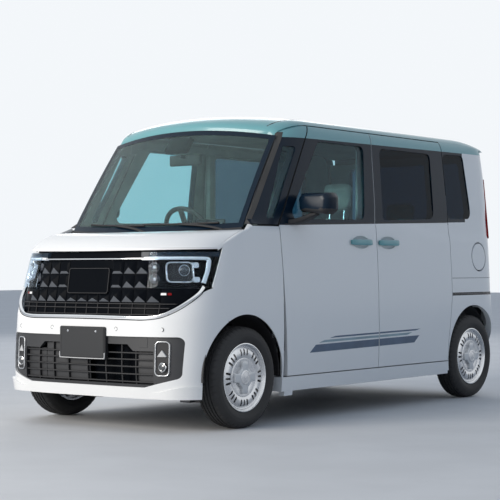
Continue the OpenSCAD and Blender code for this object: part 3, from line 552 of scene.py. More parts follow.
def slab(pt, rows, cols, t0, t1, zone=None, inner=INNER_ZONE):
    """Points, faces and material indices of a closed panel between an outer and an inner grid."""
    n, m = len(cols), len(rows)
    o = n * m
    verts = [pt(r, c, t0) for r in rows for c in cols] + [pt(r, c, t1) for r in rows for c in cols]
    zone_at = zone or (lambda i, j: 0)
    faces, idx = [], []
    for i, j in grid(rows, cols):
        a = i * n + j
        faces.append((a, a + n, a + n + 1, a + 1))
        idx.append(zone_at(i, j))
        faces.append((o + a + 1, o + a + n + 1, o + a + n, o + a))
        idx.append(inner if inner is not None else zone_at(i, j))
    for j in range(n - 1):
        for i, flip in ((0, False), (m - 1, True)):
            a = i * n + j
            f = (a, a + 1, o + a + 1, o + a)
            faces.append(f[::-1] if flip else f)
            idx.append(zone_at(min(i, m - 2), j))
    for i in range(m - 1):
        for j, flip in ((0, True), (n - 1, False)):
            a = i * n + j
            f = (a, a + n, o + a + n, o + a)
            faces.append(f[::-1] if flip else f)
            idx.append(zone_at(i, min(j, n - 2)))
    return verts, faces, idx


def skin(name, pt, rows, cols, t0, t1, zone=None, inner=EDGE_ZONE, body="body", slot=None):
    """A closed panel of the body in its painted zones."""
    verts, faces, idx = slab(pt, rows, cols, t0, t1, zone, inner)
    return piece(name, verts, faces, SKINS, idx, body, slot=slot)


def all_mint(i, j):
    return MINT_ZONE


def prism(points, axis, lo, hi, index=EDGE_ZONE):
    """A cutting tool: an outline extruded along X from (y, z), along Y from (x, z) or along Z from (x, y)."""
    at, n = "xyz".index(axis), len(points)
    verts = [(*p[:at], d, *p[at:]) for d in (lo, hi) for p in points]
    faces = [tuple(range(n)), tuple(range(2 * n - 1, n - 1, -1))]
    faces += [(i, (i + 1) % n, n + (i + 1) % n, n + i) for i in range(n)]
    return tool(verts, faces, index)


def across(points):
    return prism(points, "x", -far_x, far_x)


def tool(verts, faces, index):
    """A cutting tool that leaves its cut in a zone of the skins, or in the piece's own material."""
    if index is None:
        return piece("tool", verts, faces, [], None, body=None)
    return piece("tool", verts, faces, SKINS, [index] * len(faces), body=None)


def disc(y, z, r, n=96):
    turns = [2 * math.pi * k / n for k in range(n)]
    return [(y + r * math.cos(q), z + r * math.sin(q)) for q in turns]


def carve(obj, keep=(), cut=(), degrees=32):
    """Cuts a piece by tools, which are removed."""
    for how, tools in (("INTERSECT", keep), ("DIFFERENCE", cut)):
        for t in tools:
            mod = obj.modifiers.new("cut", "BOOLEAN")
            mod.operation, mod.solver, mod.object = how, "EXACT", t
    bpy.context.view_layer.update()
    made = bpy.data.meshes.new_from_object(obj.evaluated_get(bpy.context.evaluated_depsgraph_get()))
    obj.modifiers.clear()
    obj.data = made
    soften(made, degrees)
    # Dark edge faces are painted gap shade; below the belt they are turned back to white paint.
    if tuple(made.materials) == tuple(SKINS):
        for p in made.polygons:
            if p.material_index == EDGE_ZONE and p.center.z < (belt_at(p.center.y / MM) - 6) * MM:
                p.material_index = WHITE_ZONE
    for t in (*keep, *cut):
        bpy.data.objects.remove(t)
    return obj


def both(build):
    """Builds a piece on the left (+1) and the right (-1)."""
    return [build(s, "left" if s > 0 else "right") for s in (1, -1)]


def fine(rows, step):
    out = [rows[0]]
    for a, b in zip(rows, rows[1:]):
        n = max(1, round(abs(b - a) / step))
        out += steps(a, b, n)[1:]
    return out


def side_rows(n0, n1, n2):
    return steps(0, 1, n0) + steps(1, 2, n1)[1:] + steps(2, 3, n2)[1:]


def side_height(r, y, z0, z1):
    """Height of a row: below the belt, in the window band, in the roof colour."""
    if r <= 1:
        return lerp(z0, belt_at(y), r)
    if r <= 2:
        return lerp(belt_at(y), mint_at(y), r - 1)
    return lerp(mint_at(y), z1, r - 2)


def side_zone(rows):
    return lambda i, j: (WHITE_ZONE, BLACK_ZONE, MINT_ZONE)[min(2, int((rows[i] + rows[i + 1]) / 2))]


def side_panel(name, s, cols, z0, z1, body="body", slot=None):
    rows = side_rows(34, 14, 8)

    def pt(r, y, t):
        return side_pt(side_height(r, y, z0, z1), y, t)
    return skin(name, sided(s, pt), rows, cols, 0, wall_t, side_zone(rows), INNER_ZONE, body, slot)


def x_span(s):
    return (400, far_x) if s > 0 else (-far_x, -400)


def side_tool(points, s, index=EDGE_ZONE):
    return prism(points, "x", *x_span(s), index)


# Roof, sides and doors
def build_roof():
    rows = fine([0, 0.004, 0.012, 0.03, 0.07, 0.12, 1], 0.025)
    cols = steps(-1, -0.75, 10) + steps(-0.7, 0.7, 20) + steps(0.75, 1, 10)
    obj = skin("roof_skin", roof_pt, rows, cols, 0, roof_t, all_mint, INNER_ZONE, slot="roof_mint")
    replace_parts(obj, "roof")


def build_door(s, name):
    cols = fine([door_y1 - 30, door_yt + 60, split_y + 40], 32)
    obj = side_panel(f"door_skin_{name}", s, cols, 240, 1720, f"door_{name}")
    swing = prism(disc(s * hinge_x, hinge_y, split_y - gap / 2 - hinge_y, 240), "z", 0, far_z)
    cuts = [side_tool(rounded(door_window, 40), s, BLACK_ZONE), dish(s, split_y - 178)]
    for z in hinge_zs:
        lo, hi = sorted((s * (hinge_x - 90), s * (hinge_x + 12)))
        cuts.append(prism(rect(lo, door_y1 - 40, hi, hinge_y + 12), "z", z - 24, z + 74))
    carve(obj, [side_tool(door_line, s), swing], cuts)
    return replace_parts(obj, f"door_{name}")


def build_slide_door(s, name):
    cols = fine([split_y - 40, slide_y1 + 60], 36)
    obj = side_panel(f"slide_door_skin_{name}", s, cols, 240, 1720)
    carve(obj, [side_tool(slide_line, s)],
          [side_tool(rounded(slide_window, 40), s, BLACK_ZONE), dish(s, split_y + 127)])
    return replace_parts(obj, "slide_doors")


def build_pillar(s, name):
    outline = [(screen_edge(belt_z) + 17, belt_z + 2), (door_y1 - hinge_gap, belt_z + 2),
               (door_y1 - hinge_gap + 2, belt_z + 8), (door_yt - hinge_gap, roof_edge(0.07)[1]),
               *[roof_edge(v) for v in (0.07, 0.04, 0.02, 0.008)],
               (roof_edge(0)[0] + 2, roof_edge(0)[1] - 2),
               (screen_edge(1300) + 6.4, 1300), (screen_edge(1200) + 11, 1200)]
    cols = steps(screen_y - 30, door_yt + 20, 40)
    obj = side_panel(f"front_pillar_{name}", s, cols, belt_z - 8, roof_line + 16, slot="black_gloss")
    carve(obj, [side_tool(outline, s)], [side_tool(rounded(front_window, 14), s, BLACK_ZONE)])
    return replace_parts(obj, f"body_side_{name}")


def build_quarter(s, name):
    outline = [(slide_yt + 5, 200), (y_ra + 100, 200), (y_ra + 100, bumper_z), (past_rear, bumper_z),
               (past_rear, roof_line - 64), *[roof_edge(v) for v in (1, 0.965, 0.93, 0.9, 0.87, 0.8)],
               (slide_yt + gap, roof_line - fit), (slide_y1 + gap, belt_z + 40), (slide_y1 + 6 + gap, 690),
               (y_ra - 338 + gap, 390)]
    cols = steps(slide_yt - 40 - tail_c, 0, 10) + steps(0, 36, 30)[1:]
    rows = side_rows(34, 14, 8)

    def zone(i, j):
        r, p = (rows[i] + rows[i + 1]) / 2, (cols[j] + cols[j + 1]) / 2
        behind = p > y_ra - 60 - tail_c
        return MINT_ZONE if r > 2 else WHITE_ZONE if r < 1 or behind else BLACK_ZONE

    def pt(r, p, t):
        y = tail_c + (p if p < 0 else 640 * math.sin(math.radians(p)))
        return quarter_pt(side_height(r, min(y, 1500), 200, roof_line + 9), p, t)
    obj = skin(f"quarter_panel_{name}", sided(s, pt), rows, cols, 0, wall_t, zone, INNER_ZONE)
    rail = rect(slide_y1 + 12, 692, y_ra + 300, 712)
    rail_floor = side_x(0, 700) - 16
    cuts = [side_tool(disc(*rear_arch, arch_r), s), side_tool(rounded(quarter_window, 40), s, BLACK_ZONE),
            side_tool(rect(lamp_y, lamp_z0, past_rear, lamp_z1), s),
            prism(rail, "x", *sorted((s * rail_floor, s * 900)), BLACK_ZONE)]
    if s > 0:
        cuts.append(prism(disc(*lid_c, lid_r + lid_gap), "x", side_x(*lid_c) - 34, 900))
    lo, hi = sorted((s * (tail_w + gap), s * far_x))
    keep = [side_tool(outline, s), prism(rect(lo, 900, hi, past_rear), "z", 0, far_z)]
    return carve(obj, keep, cuts)


def build_sill(s, name):
    rows, cols = steps(sill_z, door_z - gap, 8), steps(y_fa + 322, y_ra - 332, 40)
    return skin(f"sill_{name}", sided(s, side_pt), rows, cols, 0, 92)


def build_fender(s, name):
    top = [bonnet_pt(v, 1, 0) for v in steps(1, 0, 6)]
    outline = [(y_fa + 300, door_z - gap), (door_y0 - 7, door_z - gap), (door_y1 - 7, belt_z - 8),
               (screen_y + 14, belt_z - 10), *[(y, z - 13) for x, y, z in top if y > fender_edge[0][0]],
               *fender_edge[1:], (y_fa, 400)]
    rows, cols = fine([240, belt_z - 2], 24), fine([y_fa - 300, y_fa + 330], 16)
    obj = skin(f"fender_{name}", sided(s, side_pt), rows, cols, 0, sheet_t)
    carve(obj, [side_tool(outline, s)], [side_tool(disc(*front_arch, arch_r), s)])
    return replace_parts(obj, "front_fenders")


def angles(a, b, n):
    return [math.radians(v) for v in steps(a, b, n)]


def build_bumper():
    rows = fine([sill_z, grille_z, 790], 18)
    obj = skin("bumper_skin", nose_pt, rows, angles(-81, 81, 108), 0, 30)
    face = [(-800, 0), (800, 0), (800, 790), (700, 768), (560, grille_z + 12), (490, grille_z - fit),
            (-490, grille_z - fit), (-560, grille_z + 12), (-700, 768), (-800, 790)]
    side = [(y_front - 60, 0), (fender_edge[2][0] - fit, 0), (fender_edge[2][0] - fit, 600),
            (fender_edge[1][0] - fit, 777), (y_front - 60, 790)]
    intake = prism(rounded(intake_line, 34), "y", y_front - 50, y_fa - 300)
    carve(obj, [prism(face, "y", *nose_cut), across(side)],
          [across(disc(*front_arch, arch_r)), intake, across(rect(y_fa - 345, 0, y_fa + 50, 245))])
    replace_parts(obj, "front_bumper")


def build_bonnet():
    rows = [0, 0.015, 0.035, 0.06, 0.09, 0.13, 0.18, 0.24, 0.31, 0.4, 0.5, 0.62, 0.75, 0.88, 1]
    obj = skin("bonnet_skin", bonnet_pt, rows, steps(-1, 1, 72), 0, 12, body="bonnet")
    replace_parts(obj, "bonnet")


def build_tailgate():
    rows = fine([680, 720, 1120, 1700], 26)
    obj = skin("tailgate_skin", tail_pt, rows, angles(72, -72, 72), 0, 45, None, INNER_ZONE, "tailgate")
    face = [(-tail_w, bumper_z + gap), (tail_w, bumper_z + gap), (tail_w, 1480), (tail_w - 10, 1690),
            (-tail_w + 10, 1690), (-tail_w, 1480)]
    lip_y = roof_end + 17
    carve(obj, [prism(face, "y", tail_c, past_rear)],
          [prism(rounded(gate_window, 50), "y", tail_c, past_rear, BLACK_ZONE),
           prism(rect(roof_end - 300, 1640, lip_y, 1900), "x", -800, 800)])
    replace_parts(obj, "tailgate")
    rows, cols = steps(lip_y, y_rear - 28, 8), steps(-0.77, 0.77, 40)
    skin("tailgate_lip", roof_xyz, rows, cols, 0, 32, all_mint, MINT_ZONE, "tailgate", "roof_mint")


def build_rear_bumper():
    rows, cols = fine([220, 680, 695], 24), angles(86, -86, 96)
    obj = skin("rear_bumper_skin", tail_pt, rows, cols, 0, 30)
    part = rect(y_ra + 100 + fit, 0, past_rear, bumper_z - fit)
    carve(obj, [across(part)], [across(disc(*rear_arch, arch_r))])
    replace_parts(obj, "rear_bumper")


def glass_panel(name, pt, rows, cols, t, mat, body, node, keep=(), zone=None):
    verts, faces, idx = slab(pt, rows, cols, t, t + glass_t, zone, None)
    obj = piece(name, verts, faces, [mat, black], idx, body)
    if keep:
        carve(obj, keep)
    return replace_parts(obj, node)


def build_glass():
    low, high, edge = 0.05, 0.94, 0.955
    rows = steps(0, low, 2) + steps(low, high, 30)[1:] + steps(high, 0.985, 2)[1:]
    cols = fine([-1, -edge, edge, 1], 0.04)

    def border(i, j):
        q, s = (rows[i] + rows[i + 1]) / 2, (cols[j] + cols[j + 1]) / 2
        return 1 if q < low or q > high or abs(s) > edge else 0
    glass_panel("windscreen_glass", screen_pt, rows, cols, 0, clear_glass, "body", "windscreen", zone=border)
    heights = steps(belt_z, rail_z + 20, 24)
    for s, name in SIDES:
        pt = sided(s, lambda z, y, t: (side_x(y, z) - t, y, z))
        fixed, swung = ("body", "side_glass"), (f"door_{name}", f"door_glass_{name}")
        panes = (("door", door_window, 40, (door_y1, split_y), 10, door_glass, *swung),
                 ("front_quarter", front_window, 14, (screen_y - 20, door_y1 + 300), 6, door_glass, *fixed),
                 ("slide_door", slide_window, 40, (split_y, slide_y1), 6, dark_glass, *fixed),
                 ("rear_quarter", quarter_window, 40, (slide_yt - 20, y_ra + 60), 6, dark_glass, *fixed))
        for label, outline, r, span, depth, mat, body, node in panes:
            keep = [side_tool(inset(rounded(outline, r), fit), s)]
            glass_panel(f"{label}_pane_{name}", pt, heights, fine(span, 40), depth, mat, body, node, keep)
    keep = [prism(inset(rounded(gate_window, 50), fit), "y", tail_c, past_rear, 0)]
    glass_panel("tailgate_pane", tail_pt, steps(belt_z, rail_z, 24), angles(60, -60, 40), 8, dark_glass,
                "tailgate", "tailgate_glass", keep)


# Detail helpers
def loft(rings, closed=False):
    """Points and faces through rings of points; a closed loft joins its last ring to its first."""
    n, m = len(rings[0]), len(rings)
    faces = [] if closed else [tuple(range(n)), tuple(range((m - 1) * n, m * n))]
    for i in range(m if closed else m - 1):
        a, b = i * n, (i + 1) % m * n
        faces += [(a + j, a + (j + 1) % n, b + (j + 1) % n, b + j) for j in range(n)]
    return [tuple(p) for ring in rings for p in ring], faces


def stack(name, rings, mat, body="body", slot=None, degrees=32, closed=False):
    verts, faces = loft(rings, closed)
    return piece(name, verts, faces, [mat], None, body, degrees, slot)


def face_pt(x, z, t):
    """Nose surface by place across and height."""
    n, w = nose_n(z), half_w(z) - t
    return (x, nose_c - (nose_a(z) - t) * max(0, 1 - (abs(x) / w) ** n) ** (1 / n), z)


def bearing_pt(s):
    """Nose surface of one side by bearing from straight ahead and height."""
    return sided(s, lambda degrees, z, t: nose_pt(z, math.radians(degrees), t))


def flank_pt(s):
    """Side surface by place along the car and height."""
    return sided(s, lambda y, z, t: side_pt(z, y, t))


def curve(points, n=6):
    """Points of a smooth line through the given ones."""
    pts = [Vector(p) for p in points]
    out = []
    for i in range(len(pts) - 1):
        a, b, c, d = pts[max(i - 1, 0)], pts[i], pts[i + 1], pts[min(i + 2, len(pts) - 1)]
        for t in (k / n for k in range(n)):
            out.append((2 * b + (c - a) * t + (2 * a - 5 * b + 4 * c - d) * t ** 2
                        + (3 * b - 3 * c + d - a) * t ** 3) / 2)
    return [tuple(p) for p in out + [pts[-1]]]


def plate(name, outline, pt, t0, t1, mat, body="body", slot=None, bevel=2.0):
    """A plate on a surface from depth t1 out to t0, with a bevelled edge."""
    rings = [[pt(*p, t1) for p in outline], [pt(*p, t0 + bevel) for p in outline],
             [pt(*p, t0) for p in inset(outline, bevel)]]
    return stack(name, rings, mat, body, slot)


def panel(name, pt, rows, cols, t0, t1, mat, body="body", slot=None):
    verts, faces, _ = slab(pt, rows, cols, t0, t1)
    return piece(name, verts, faces, [mat], None, body, slot=slot)


def carry(section, spots, outs, closed=False):
    """Rings of a section of (across, outward) points along a path."""
    n, rings = len(spots), []
    for i, (spot, out) in enumerate(zip(spots, outs)):
        ahead = spots[(i + 1) % n] if closed or i < n - 1 else spot
        behind = spots[i - 1] if closed or i else spot
        across = (ahead - behind).cross(out).normalized()
        rings.append([spot + across * a + out * b for a, b in section])
    return rings


def sweep(name, pt, path, t, section, mat, body="body", slot=None, closed=False):
    """A section carried along a path of surface places at one depth."""
    spots = [Vector(pt(*p, t)) for p in path]
    outs = [(Vector(pt(*p, t - 5)) - q).normalized() for p, q in zip(path, spots)]
    return stack(name, carry(section, spots, outs, closed), mat, body, slot, closed=closed)


def tube(name, path, r, mat, body="body", slot=None, n=16):
    spots = [Vector(p) for p in path]
    out = (spots[-1] - spots[0]).normalized().orthogonal().normalized()
    return stack(name, carry(disc(0, 0, r, n), spots, [out] * len(spots)), mat, body, slot, 50)


def bar(w, lo, hi, r=1.5):
    """Section of a bar: width and span outwards."""
    return rounded([(-w / 2, lo), (w / 2, lo), (w / 2, hi), (-w / 2, hi)], r, 3)


def turned(name, profile, place, axis, mat, body="body", slot=None, n=48, closed=False, cut=None, degrees=32):
    """A solid turned from (along, radius) points about an axis; cut may lower the radius round the turn."""
    axis, place = Vector(axis).normalized(), Vector(place)
    u = axis.orthogonal().normalized()
    v = axis.cross(u)
    rings = []
    for a, r in profile:
        ring = []
        for k in range(n):
            q, d = 2 * math.pi * k / n, cut(a, r, k) if cut else 0
            ring.append(place + axis * a + (u * math.cos(q) + v * math.sin(q)) * (r - d))
        rings.append(ring)
    return stack(name, rings, mat, body, slot, degrees, closed)


def round_edges(obj, r, segments=3, degrees=30):
    bm = bmesh.new()
    bm.from_mesh(obj.data)
    limit = math.radians(degrees)
    edges = [e for e in bm.edges if len(e.link_faces) == 2 and e.calc_face_angle() > limit]
    bmesh.ops.bevel(bm, geom=edges, offset=r * MM, segments=segments, profile=0.5, affect="EDGES",
                    clamp_overlap=True)
    bm.to_mesh(obj.data)
    bm.free()
    soften(obj.data, 40)
    return obj


def block(name, lo, hi, mat, r=4, body="body", slot=None, lean=0):
    """A box with rounded edges, whose top may lean back."""
    (x0, y0, z0), (x1, y1, z1) = lo, hi
    rings = [[(*p, z) for p in rect(x0, y0 + d, x1, y1 + d)] for z, d in ((z0, 0), (z1, lean))]
    return round_edges(stack(name, rings, mat, body, slot), r)


def turned_to(pt, a, b, t):
    """Place and outward direction on a surface."""
    p = Vector(pt(a, b, t))
    return p, Vector(pt(a, b, t - 5)) - p


# Front face
def build_grille():
    half = [(490, grille_z), (560, grille_z + 12 + fit), (690, 762), (600, 770), (420, 770), (405, lamp_top)]
    face = half + [(-x, z) for x, z in reversed(half)]
    rows, cols = fine([600, 990], 24), angles(-80, 80, 80)
    verts, faces, idx = slab(nose_pt, rows, cols, 24, 46, lambda i, j: BLACK_ZONE, BLACK_ZONE)
    obj = piece("grille_plate", verts, faces, [deep_black] * len(SKINS), idx)
    carve(obj, [prism(face, "y", *nose_cut, BLACK_ZONE)])
    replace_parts(obj, "grille")

    pitch, pointed, flat_topped = 82, 0.04, 0.6
    verts, faces, idx = [], [], []

    def tile(x, z, h, depth, top):
        """One pyramid, cut off at the given part of its width; its lower facet is painted a lighter grey for
        the light it catches.
        """
        o = len(verts)
        corners = ((-1, -1), (1, -1), (1, 1), (-1, 1))
        for k, t in ((1, 34), (1, 22), (top, 22 - depth * (1 - top))):
            across_by, up_by = k * (pitch / 2 - 1.5), k * (h / 2 - 1.5)
            verts.extend(face_pt(x + a * across_by, z + b * up_by, t) for a, b in corners)
        for i in (0, 4):
            for k in range(4):
                faces.append((o + i + k, o + i + (k + 1) % 4, o + i + 4 + (k + 1) % 4, o + i + 4 + k))
                idx.append(1 if i and k == 0 else 0)
        faces.extend([(o, o + 1, o + 2, o + 3), (o + 8, o + 9, o + 10, o + 11)])
        idx.extend([0, 0])
    for k in range(12):
        x = pitch * (k - 5.5)
        z, h, depth = (716, 44, 9) if abs(x) < 150 else (730, 74, 16)
        tile(x, z, h, depth, pointed)
    for s in (1, -1):
        for z in (808.5, 883.5):
            for k in range(3):
                tile(s * (201 + pitch * k), z, 75, 16, pointed if k else flat_topped)
    pyramids = piece("grille_pyramids", verts, faces, [deep_black, lit_facet_grey], idx, smooth_deg=12)
    round_edges(pyramids, 1.2, 2)
    soften(pyramids.data, 18)

    middle = rounded(rect(-150, 742, 150, 877), 12)
    panel("grille_middle", face_pt, steps(-150, 150, 24), steps(744, 875, 8), 15, 30, deep_black)
    sweep("grille_middle_frame", face_pt, middle, 14, bar(4, -12, 3), plastic_black, closed=True)
    for i, (z, w) in enumerate(((629, 500), (663, 545), (686, 575))):
        path = [(x, z) for x in steps(-w, w, 60)]
        sweep(f"grille_slat_{i}", face_pt, path, 17, bar(5, -12, 3), plastic_black)
    for k in range(13):
        path = [(pitch * (k - 6), z) for z in (621, 656, 691)]
        sweep(f"grille_divider_{k}", face_pt, path, 20, bar(4, -12, 2), plastic_black)
    path = [(x, 928.5) for x in steps(-408, 408, 60)]
    sweep("grille_top_line", face_pt, path, 14, bar(7, -8, 4), chrome)
    left = curve([(64.3, 778), (61.8, 740), (57, 695), (51.8, 654), (46.3, 623), (41.3, 613), (36.5, 611)], 5)
    across = [(a, 611 + 3 * (1 - (a / 36.5) ** 2)) for a in steps(33, -33, 44)]
    path = left + across + [(-a, z) for a, z in reversed(left)]
    sweep("grille_bottom_line", bearing_pt(1), path, 3, bar(19, -12, 6, 3), chrome)
    # Thin dark lines above and below the chrome strip are painted shadow.
    for i, side in enumerate((1, -1)):
        line = []
        for a, z in path:
            k = min(max((abs(a) - 38) / 10, 0), 1)
            line.append((a + math.copysign(side * k * 0.75, a), z - side * 11 * (1 - 0.4 * k)))
        sweep(f"grille_bottom_edge_{i}", bearing_pt(1), line, 2, bar(4, -8, 4, 1), deep_black)
    for s, name in SIDES:
        for label, a0, a1, mat in (("white", 45.5, 49.2, white), ("red", 49.8, 51.4, red_glass)):
            panel(f"grille_bar_{label}_{name}", bearing_pt(s), [a0, a1], [733, 745], 21, 26, mat)


def build_lamp(s, name):
    pt = bearing_pt(s)
    half = [(420.3, 770.3), (600, 770.3), (690, 770.6), (800, 791), (800, lamp_top), (405.3, lamp_top)]
    face = half if s > 0 else [(-x, z) for x, z in reversed(half)]
    (top_y, top_z), (low_y, low_z) = fender_edge[:2]
    side = [(y_front - 60, 700), (low_y - fit, 737), (low_y - fit, low_z), (top_y - fit, top_z),
            (top_y, 1050), (y_front - 60, 1100)]

    def shell(label, t0, t1, mat, slot=None):
        rows, cols = steps(20, 84, 52), fine([740, 1000], 20)
        obj = panel(f"lamp_{label}_{name}", pt, rows, cols, t0, t1, mat, slot=slot)
        return carve(obj, [prism(face, "y", *nose_cut, None), prism(side, "x", *x_span(s), None)])
    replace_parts(shell("cover", 2, 5, lamp_glass), "headlamps")
    shell("housing", 38, 60, deep_black, "black_plastic")
    panel(f"lamp_strip_{name}", pt, steps(37.5, 73, 30), [939, 965], 8, 30, black)
    guide = curve([(38.8, 931.5), (46, 933), (54, 933.5), (62, 932.5), (66.6, 931), (68, 926), (68.1, 915),
                   (67.1, 866), (65.9, 830), (64.8, 797)], 5)
    sweep(f"lamp_guide_{name}", pt, guide, 12, bar(13, -8, 4, 3), guide_white)
    leg = [p for p in guide if p[1] < 922]
    sweep(f"lamp_guide_leg_{name}", pt, leg, 13, bar(24, -8, 4, 4), guide_white)
    edge = [(a - 0.95, z - 8.5 * (z > 920)) for a, z in guide]
    sweep(f"lamp_guide_edge_{name}", pt, edge, 14, bar(5, -8, 2), chrome)

    def bezel(x0, z0, x1, z1, r, n):
        """A rounded outline in twelfths of a degree and heights."""
        return [(a / 12, z) for a, z in rounded(rect(x0, z0, x1, z1), r, n)]
    ring = bezel(596, 803, 730, 908, 24, 6)
    sweep(f"lamp_bezel_{name}", pt, ring, 14, bar(7, -22, 3, 2), silver, closed=True)
    panel(f"lamp_bezel_floor_{name}", pt, steps(49.9, 60.6, 8), steps(806, 905, 8), 30, 34, plastic_black)
    for i, (z0, z1) in enumerate(((878, 908), (801, 830))):
        rings = [[pt(*p, t) for p in bezel(726, z0, 760, z1, 8, 4)] for t in (34, 13)]
        round_edges(stack(f"lamp_lobe_{name}_{i}", rings, silver), 2)
    spot = turned_to(pt, 57.2, 865, 26)
    ring = [(-10, 30), (7, 30), (8, 28), (4, 25), (-4, 24)]
    turned(f"lamp_lens_ring_{name}", ring, *spot, chrome)
    dome = [(-6, 24), (2, 23.5), (7, 21), (11, 16), (14, 10), (15.5, 4), (15.7, 1)]
    turned(f"lamp_lens_{name}", dome, *spot, lens)
    bowl = [(-12, 29), (4, 29), (5, 28), (4, 27), (-1, 24), (-6, 17), (-9, 9), (-10, 1)]
    bulb = [(-10, 8), (-4, 8), (0, 6.5), (2, 3), (2.5, 0.5)]
    for i, z in enumerate((881, 819)):
        spot = turned_to(pt, 44.2, z, 26)
        turned(f"lamp_reflector_{name}_{i}", bowl, *spot, dark_chrome)
        turned(f"lamp_bulb_{name}_{i}", bulb, *spot, guide_white)


def build_intake():
    def ring(label, outline, hole, t0, t1, mat):
        rows, cols = fine([225, 525], 20), angles(-68, 68, 88)
        obj = panel(label, nose_pt, rows, cols, t0, t1, mat, slot="black_plastic")
        cut = [prism(hole, "y", y_front - 90, y_fa - 200, None)] if hole else []
        return carve(obj, [prism(outline, "y", y_front - 50, y_fa - 200, None)], cut)
    line = inset(rounded(intake_line, 34), fit)
    opening = rounded([(-480, 258), (480, 258), (480, 435), (352, 435), (312, 470), (-312, 470), (-352, 435),
                       (-480, 435)], 8, 3)
    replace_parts(ring("intake_frame", line, opening, 10, 36, plastic_grey), "lower_intake")
    ring("intake_back", inset(line, 4), None, 66, 72, deep_black)
    for i, (x0, x1, z1) in enumerate(((-476, -314, 432), (-310, 26, 466), (356, 476, 432))):
        panel(f"intake_blank_{i}", face_pt, steps(x0, x1, 12), steps(262, z1, 6), 30, 36, plastic_grey)
    for i, z in enumerate((270, 311, 351, 389, 424)):
        path = [(x, z) for x in steps(-481, 481, 48)]
        sweep(f"intake_slat_{i}", face_pt, path, 20, bar(7, -12, 6, 2), plastic_black)
    for i, x in enumerate((-364, -247, -131, 15, 154, 269, 365)):
        path = [(x, z) for z in steps(258, 436 if abs(x) > 330 else 470, 6)]
        sweep(f"intake_divider_{i}", face_pt, path, 22, bar(7, -12, 5), plastic_black)
    for s, name in SIDES:
        build_intake_end(s, name)
    hook = rounded(rect(392, 453, 444, 508), 6, 4)
    plate("tow_hook_cover", hook, face_pt, 8.6, 14, plastic_grey, bevel=1.2)
    build_front_plate(y_front - 9)


def build_intake_end(s, name):
    """Pocket with its fog lamp beside the intake, and the sensors above."""
    def pt(x, z, t):
        return face_pt(s * x, z, t)
    edge = rounded(rect(490, 303, 572, 491), 24, 6)
    sweep(f"intake_bezel_{name}", pt, inset(edge, 4), 6, bar(6, -14, 4, 2), silver, closed=True)
    plate(f"intake_pocket_{name}", inset(edge, 6), pt, 8, 20, plastic_black, bevel=1)
    # The pale triangle is painted light: the lit lower facet of a pyramid in the pocket.
    tile = rounded([(504, 407), (556, 407), (530, 443)], 2, 3)
    plate(f"intake_tile_{name}", tile, pt, 3, 9, plate_edge_and_lit_facet, bevel=1)
    spot = turned_to(pt, 534, 352, 7)
    turned(f"fog_lamp_ring_{name}", [(-4, 25), (4, 25), (5, 23), (1, 20)], *spot, chrome)
    turned(f"fog_lamp_{name}", [(-3, 20), (2, 19), (5, 14), (6.5, 7), (7, 1)], *spot, lens)
    button = [(-6, 9.5), (1, 9.5), (1.8, 8.5), (2, 1)]
    collar = [(-6, 11.5), (1.3, 11.5), (1.3, 9), (-6, 9)]
    for i, x in enumerate((241, 530)):
        spot = turned_to(pt, x, 551, 1)
        turned(f"bumper_sensor_{name}_{i}", button, *spot, white, n=32)
        turned(f"bumper_sensor_ring_{name}_{i}", collar, *spot, plastic_grey, n=32, closed=True)


def build_front_plate(y):
    """Blank number plate in its holder, with its face at one place along the car."""
    def pt(x, z, t):
        return (x, y + t, z)
    plate("plate_holder", rounded(rect(-172, 386, 172, 560), 10), pt, 3, 26, plastic_black, bevel=3)
    plate("number_plate", rounded(rect(-165, 393, 165, 556), 9), pt, 0, 3, plate_dark, bevel=1)
    path = curve([(-168, 420), (-168, 398), (-164, 390), (-156, 388), (0, 387), (156, 388), (164, 390),
                  (168, 398), (168, 420)], 4)
    sweep("plate_lower_frame", pt, path, 1, bar(5, -3, 3), plate_edge_and_lit_facet)
    rib = rounded(rect(-158, 400, 158, 549), 7)
    sweep("number_plate_rib", pt, rib, 0, bar(2.4, -0.5, 0.9, 0.5), plate_dark, closed=True)
    screw = [(-1, 6.5), (1.5, 6.5), (2.5, 5), (2.5, 3), (1.2, 2.6), (1.2, 1)]
    for i, x in enumerate((-105, 105)):
        turned(f"plate_screw_{i}", screw, (x, y, 535), (0, -1, 0), polished, n=32)


def build_lips():
    """Underside lip of the bumper with its fins, and the flap and skirt under each sill."""
    lip = [(a, sill_z + 16) for a in steps(-60, 60, 80)]
    sweep("bumper_lip", bearing_pt(1), lip, 22, bar(26, -14, 10, 5), plastic_black)
    for s, name in SIDES:
        def fin(a, v, t, pt=bearing_pt(s)):
            z = lerp(sill_z + 1, sill_z + lerp(34, 70, smooth((a - 42) / 14)), v)
            return pt(a, z, 6 if t else -15 * smooth((a - 40) / 12))
        panel(f"bumper_fin_{name}", fin, steps(38, 62, 24), steps(0, 1, 4), 0, 1, white)
        flap_y, flap_z = steps(y_fa + 352, y_fa + 430, 6), steps(sill_z - 26, sill_z + 4, 3)
        panel(f"sill_flap_{name}", flank_pt(s), flap_y, flap_z, 2, 38, white)
        path = [(y, sill_z + 10) for y in steps(y_fa + 345, y_ra - 350, 30)]
        sweep(f"sill_skirt_{name}", flank_pt(s), path, 4, bar(22, -16, 3, 4), plastic_black)


def build_shoulder(s, name):
    """Rounded top of a fender beside the bonnet, running on to the foot of the pillar."""
    edge = [bonnet_pt(v, 1, 0) for v in steps(0, 1, 30)]
    x0, y0, z0 = edge[-1]
    edge += [(lerp(x0, 668, w), lerp(y0, screen_y + 14, w), lerp(z0, belt_z + 2, w))
             for w in steps(0, 1, 8)[1:]]
    rings = []
    for x, y, z in edge:
        low = z - 18
        out = side_pt(low, y, 0)[0] + 0.4
        near = min(x + 4.5, out - 3)
        arc = [(lerp(near, out, math.cos(a)), lerp(low, z - 1, math.sin(a))) for a in angles(0, 90, 8)]
        rings.append([(s * a, y, b) for a, b in arc + [(near, low), (near + 1, low - 3), (out - 4, low - 3)]])
    stack(f"fender_shoulder_{name}", rings, white, degrees=50)


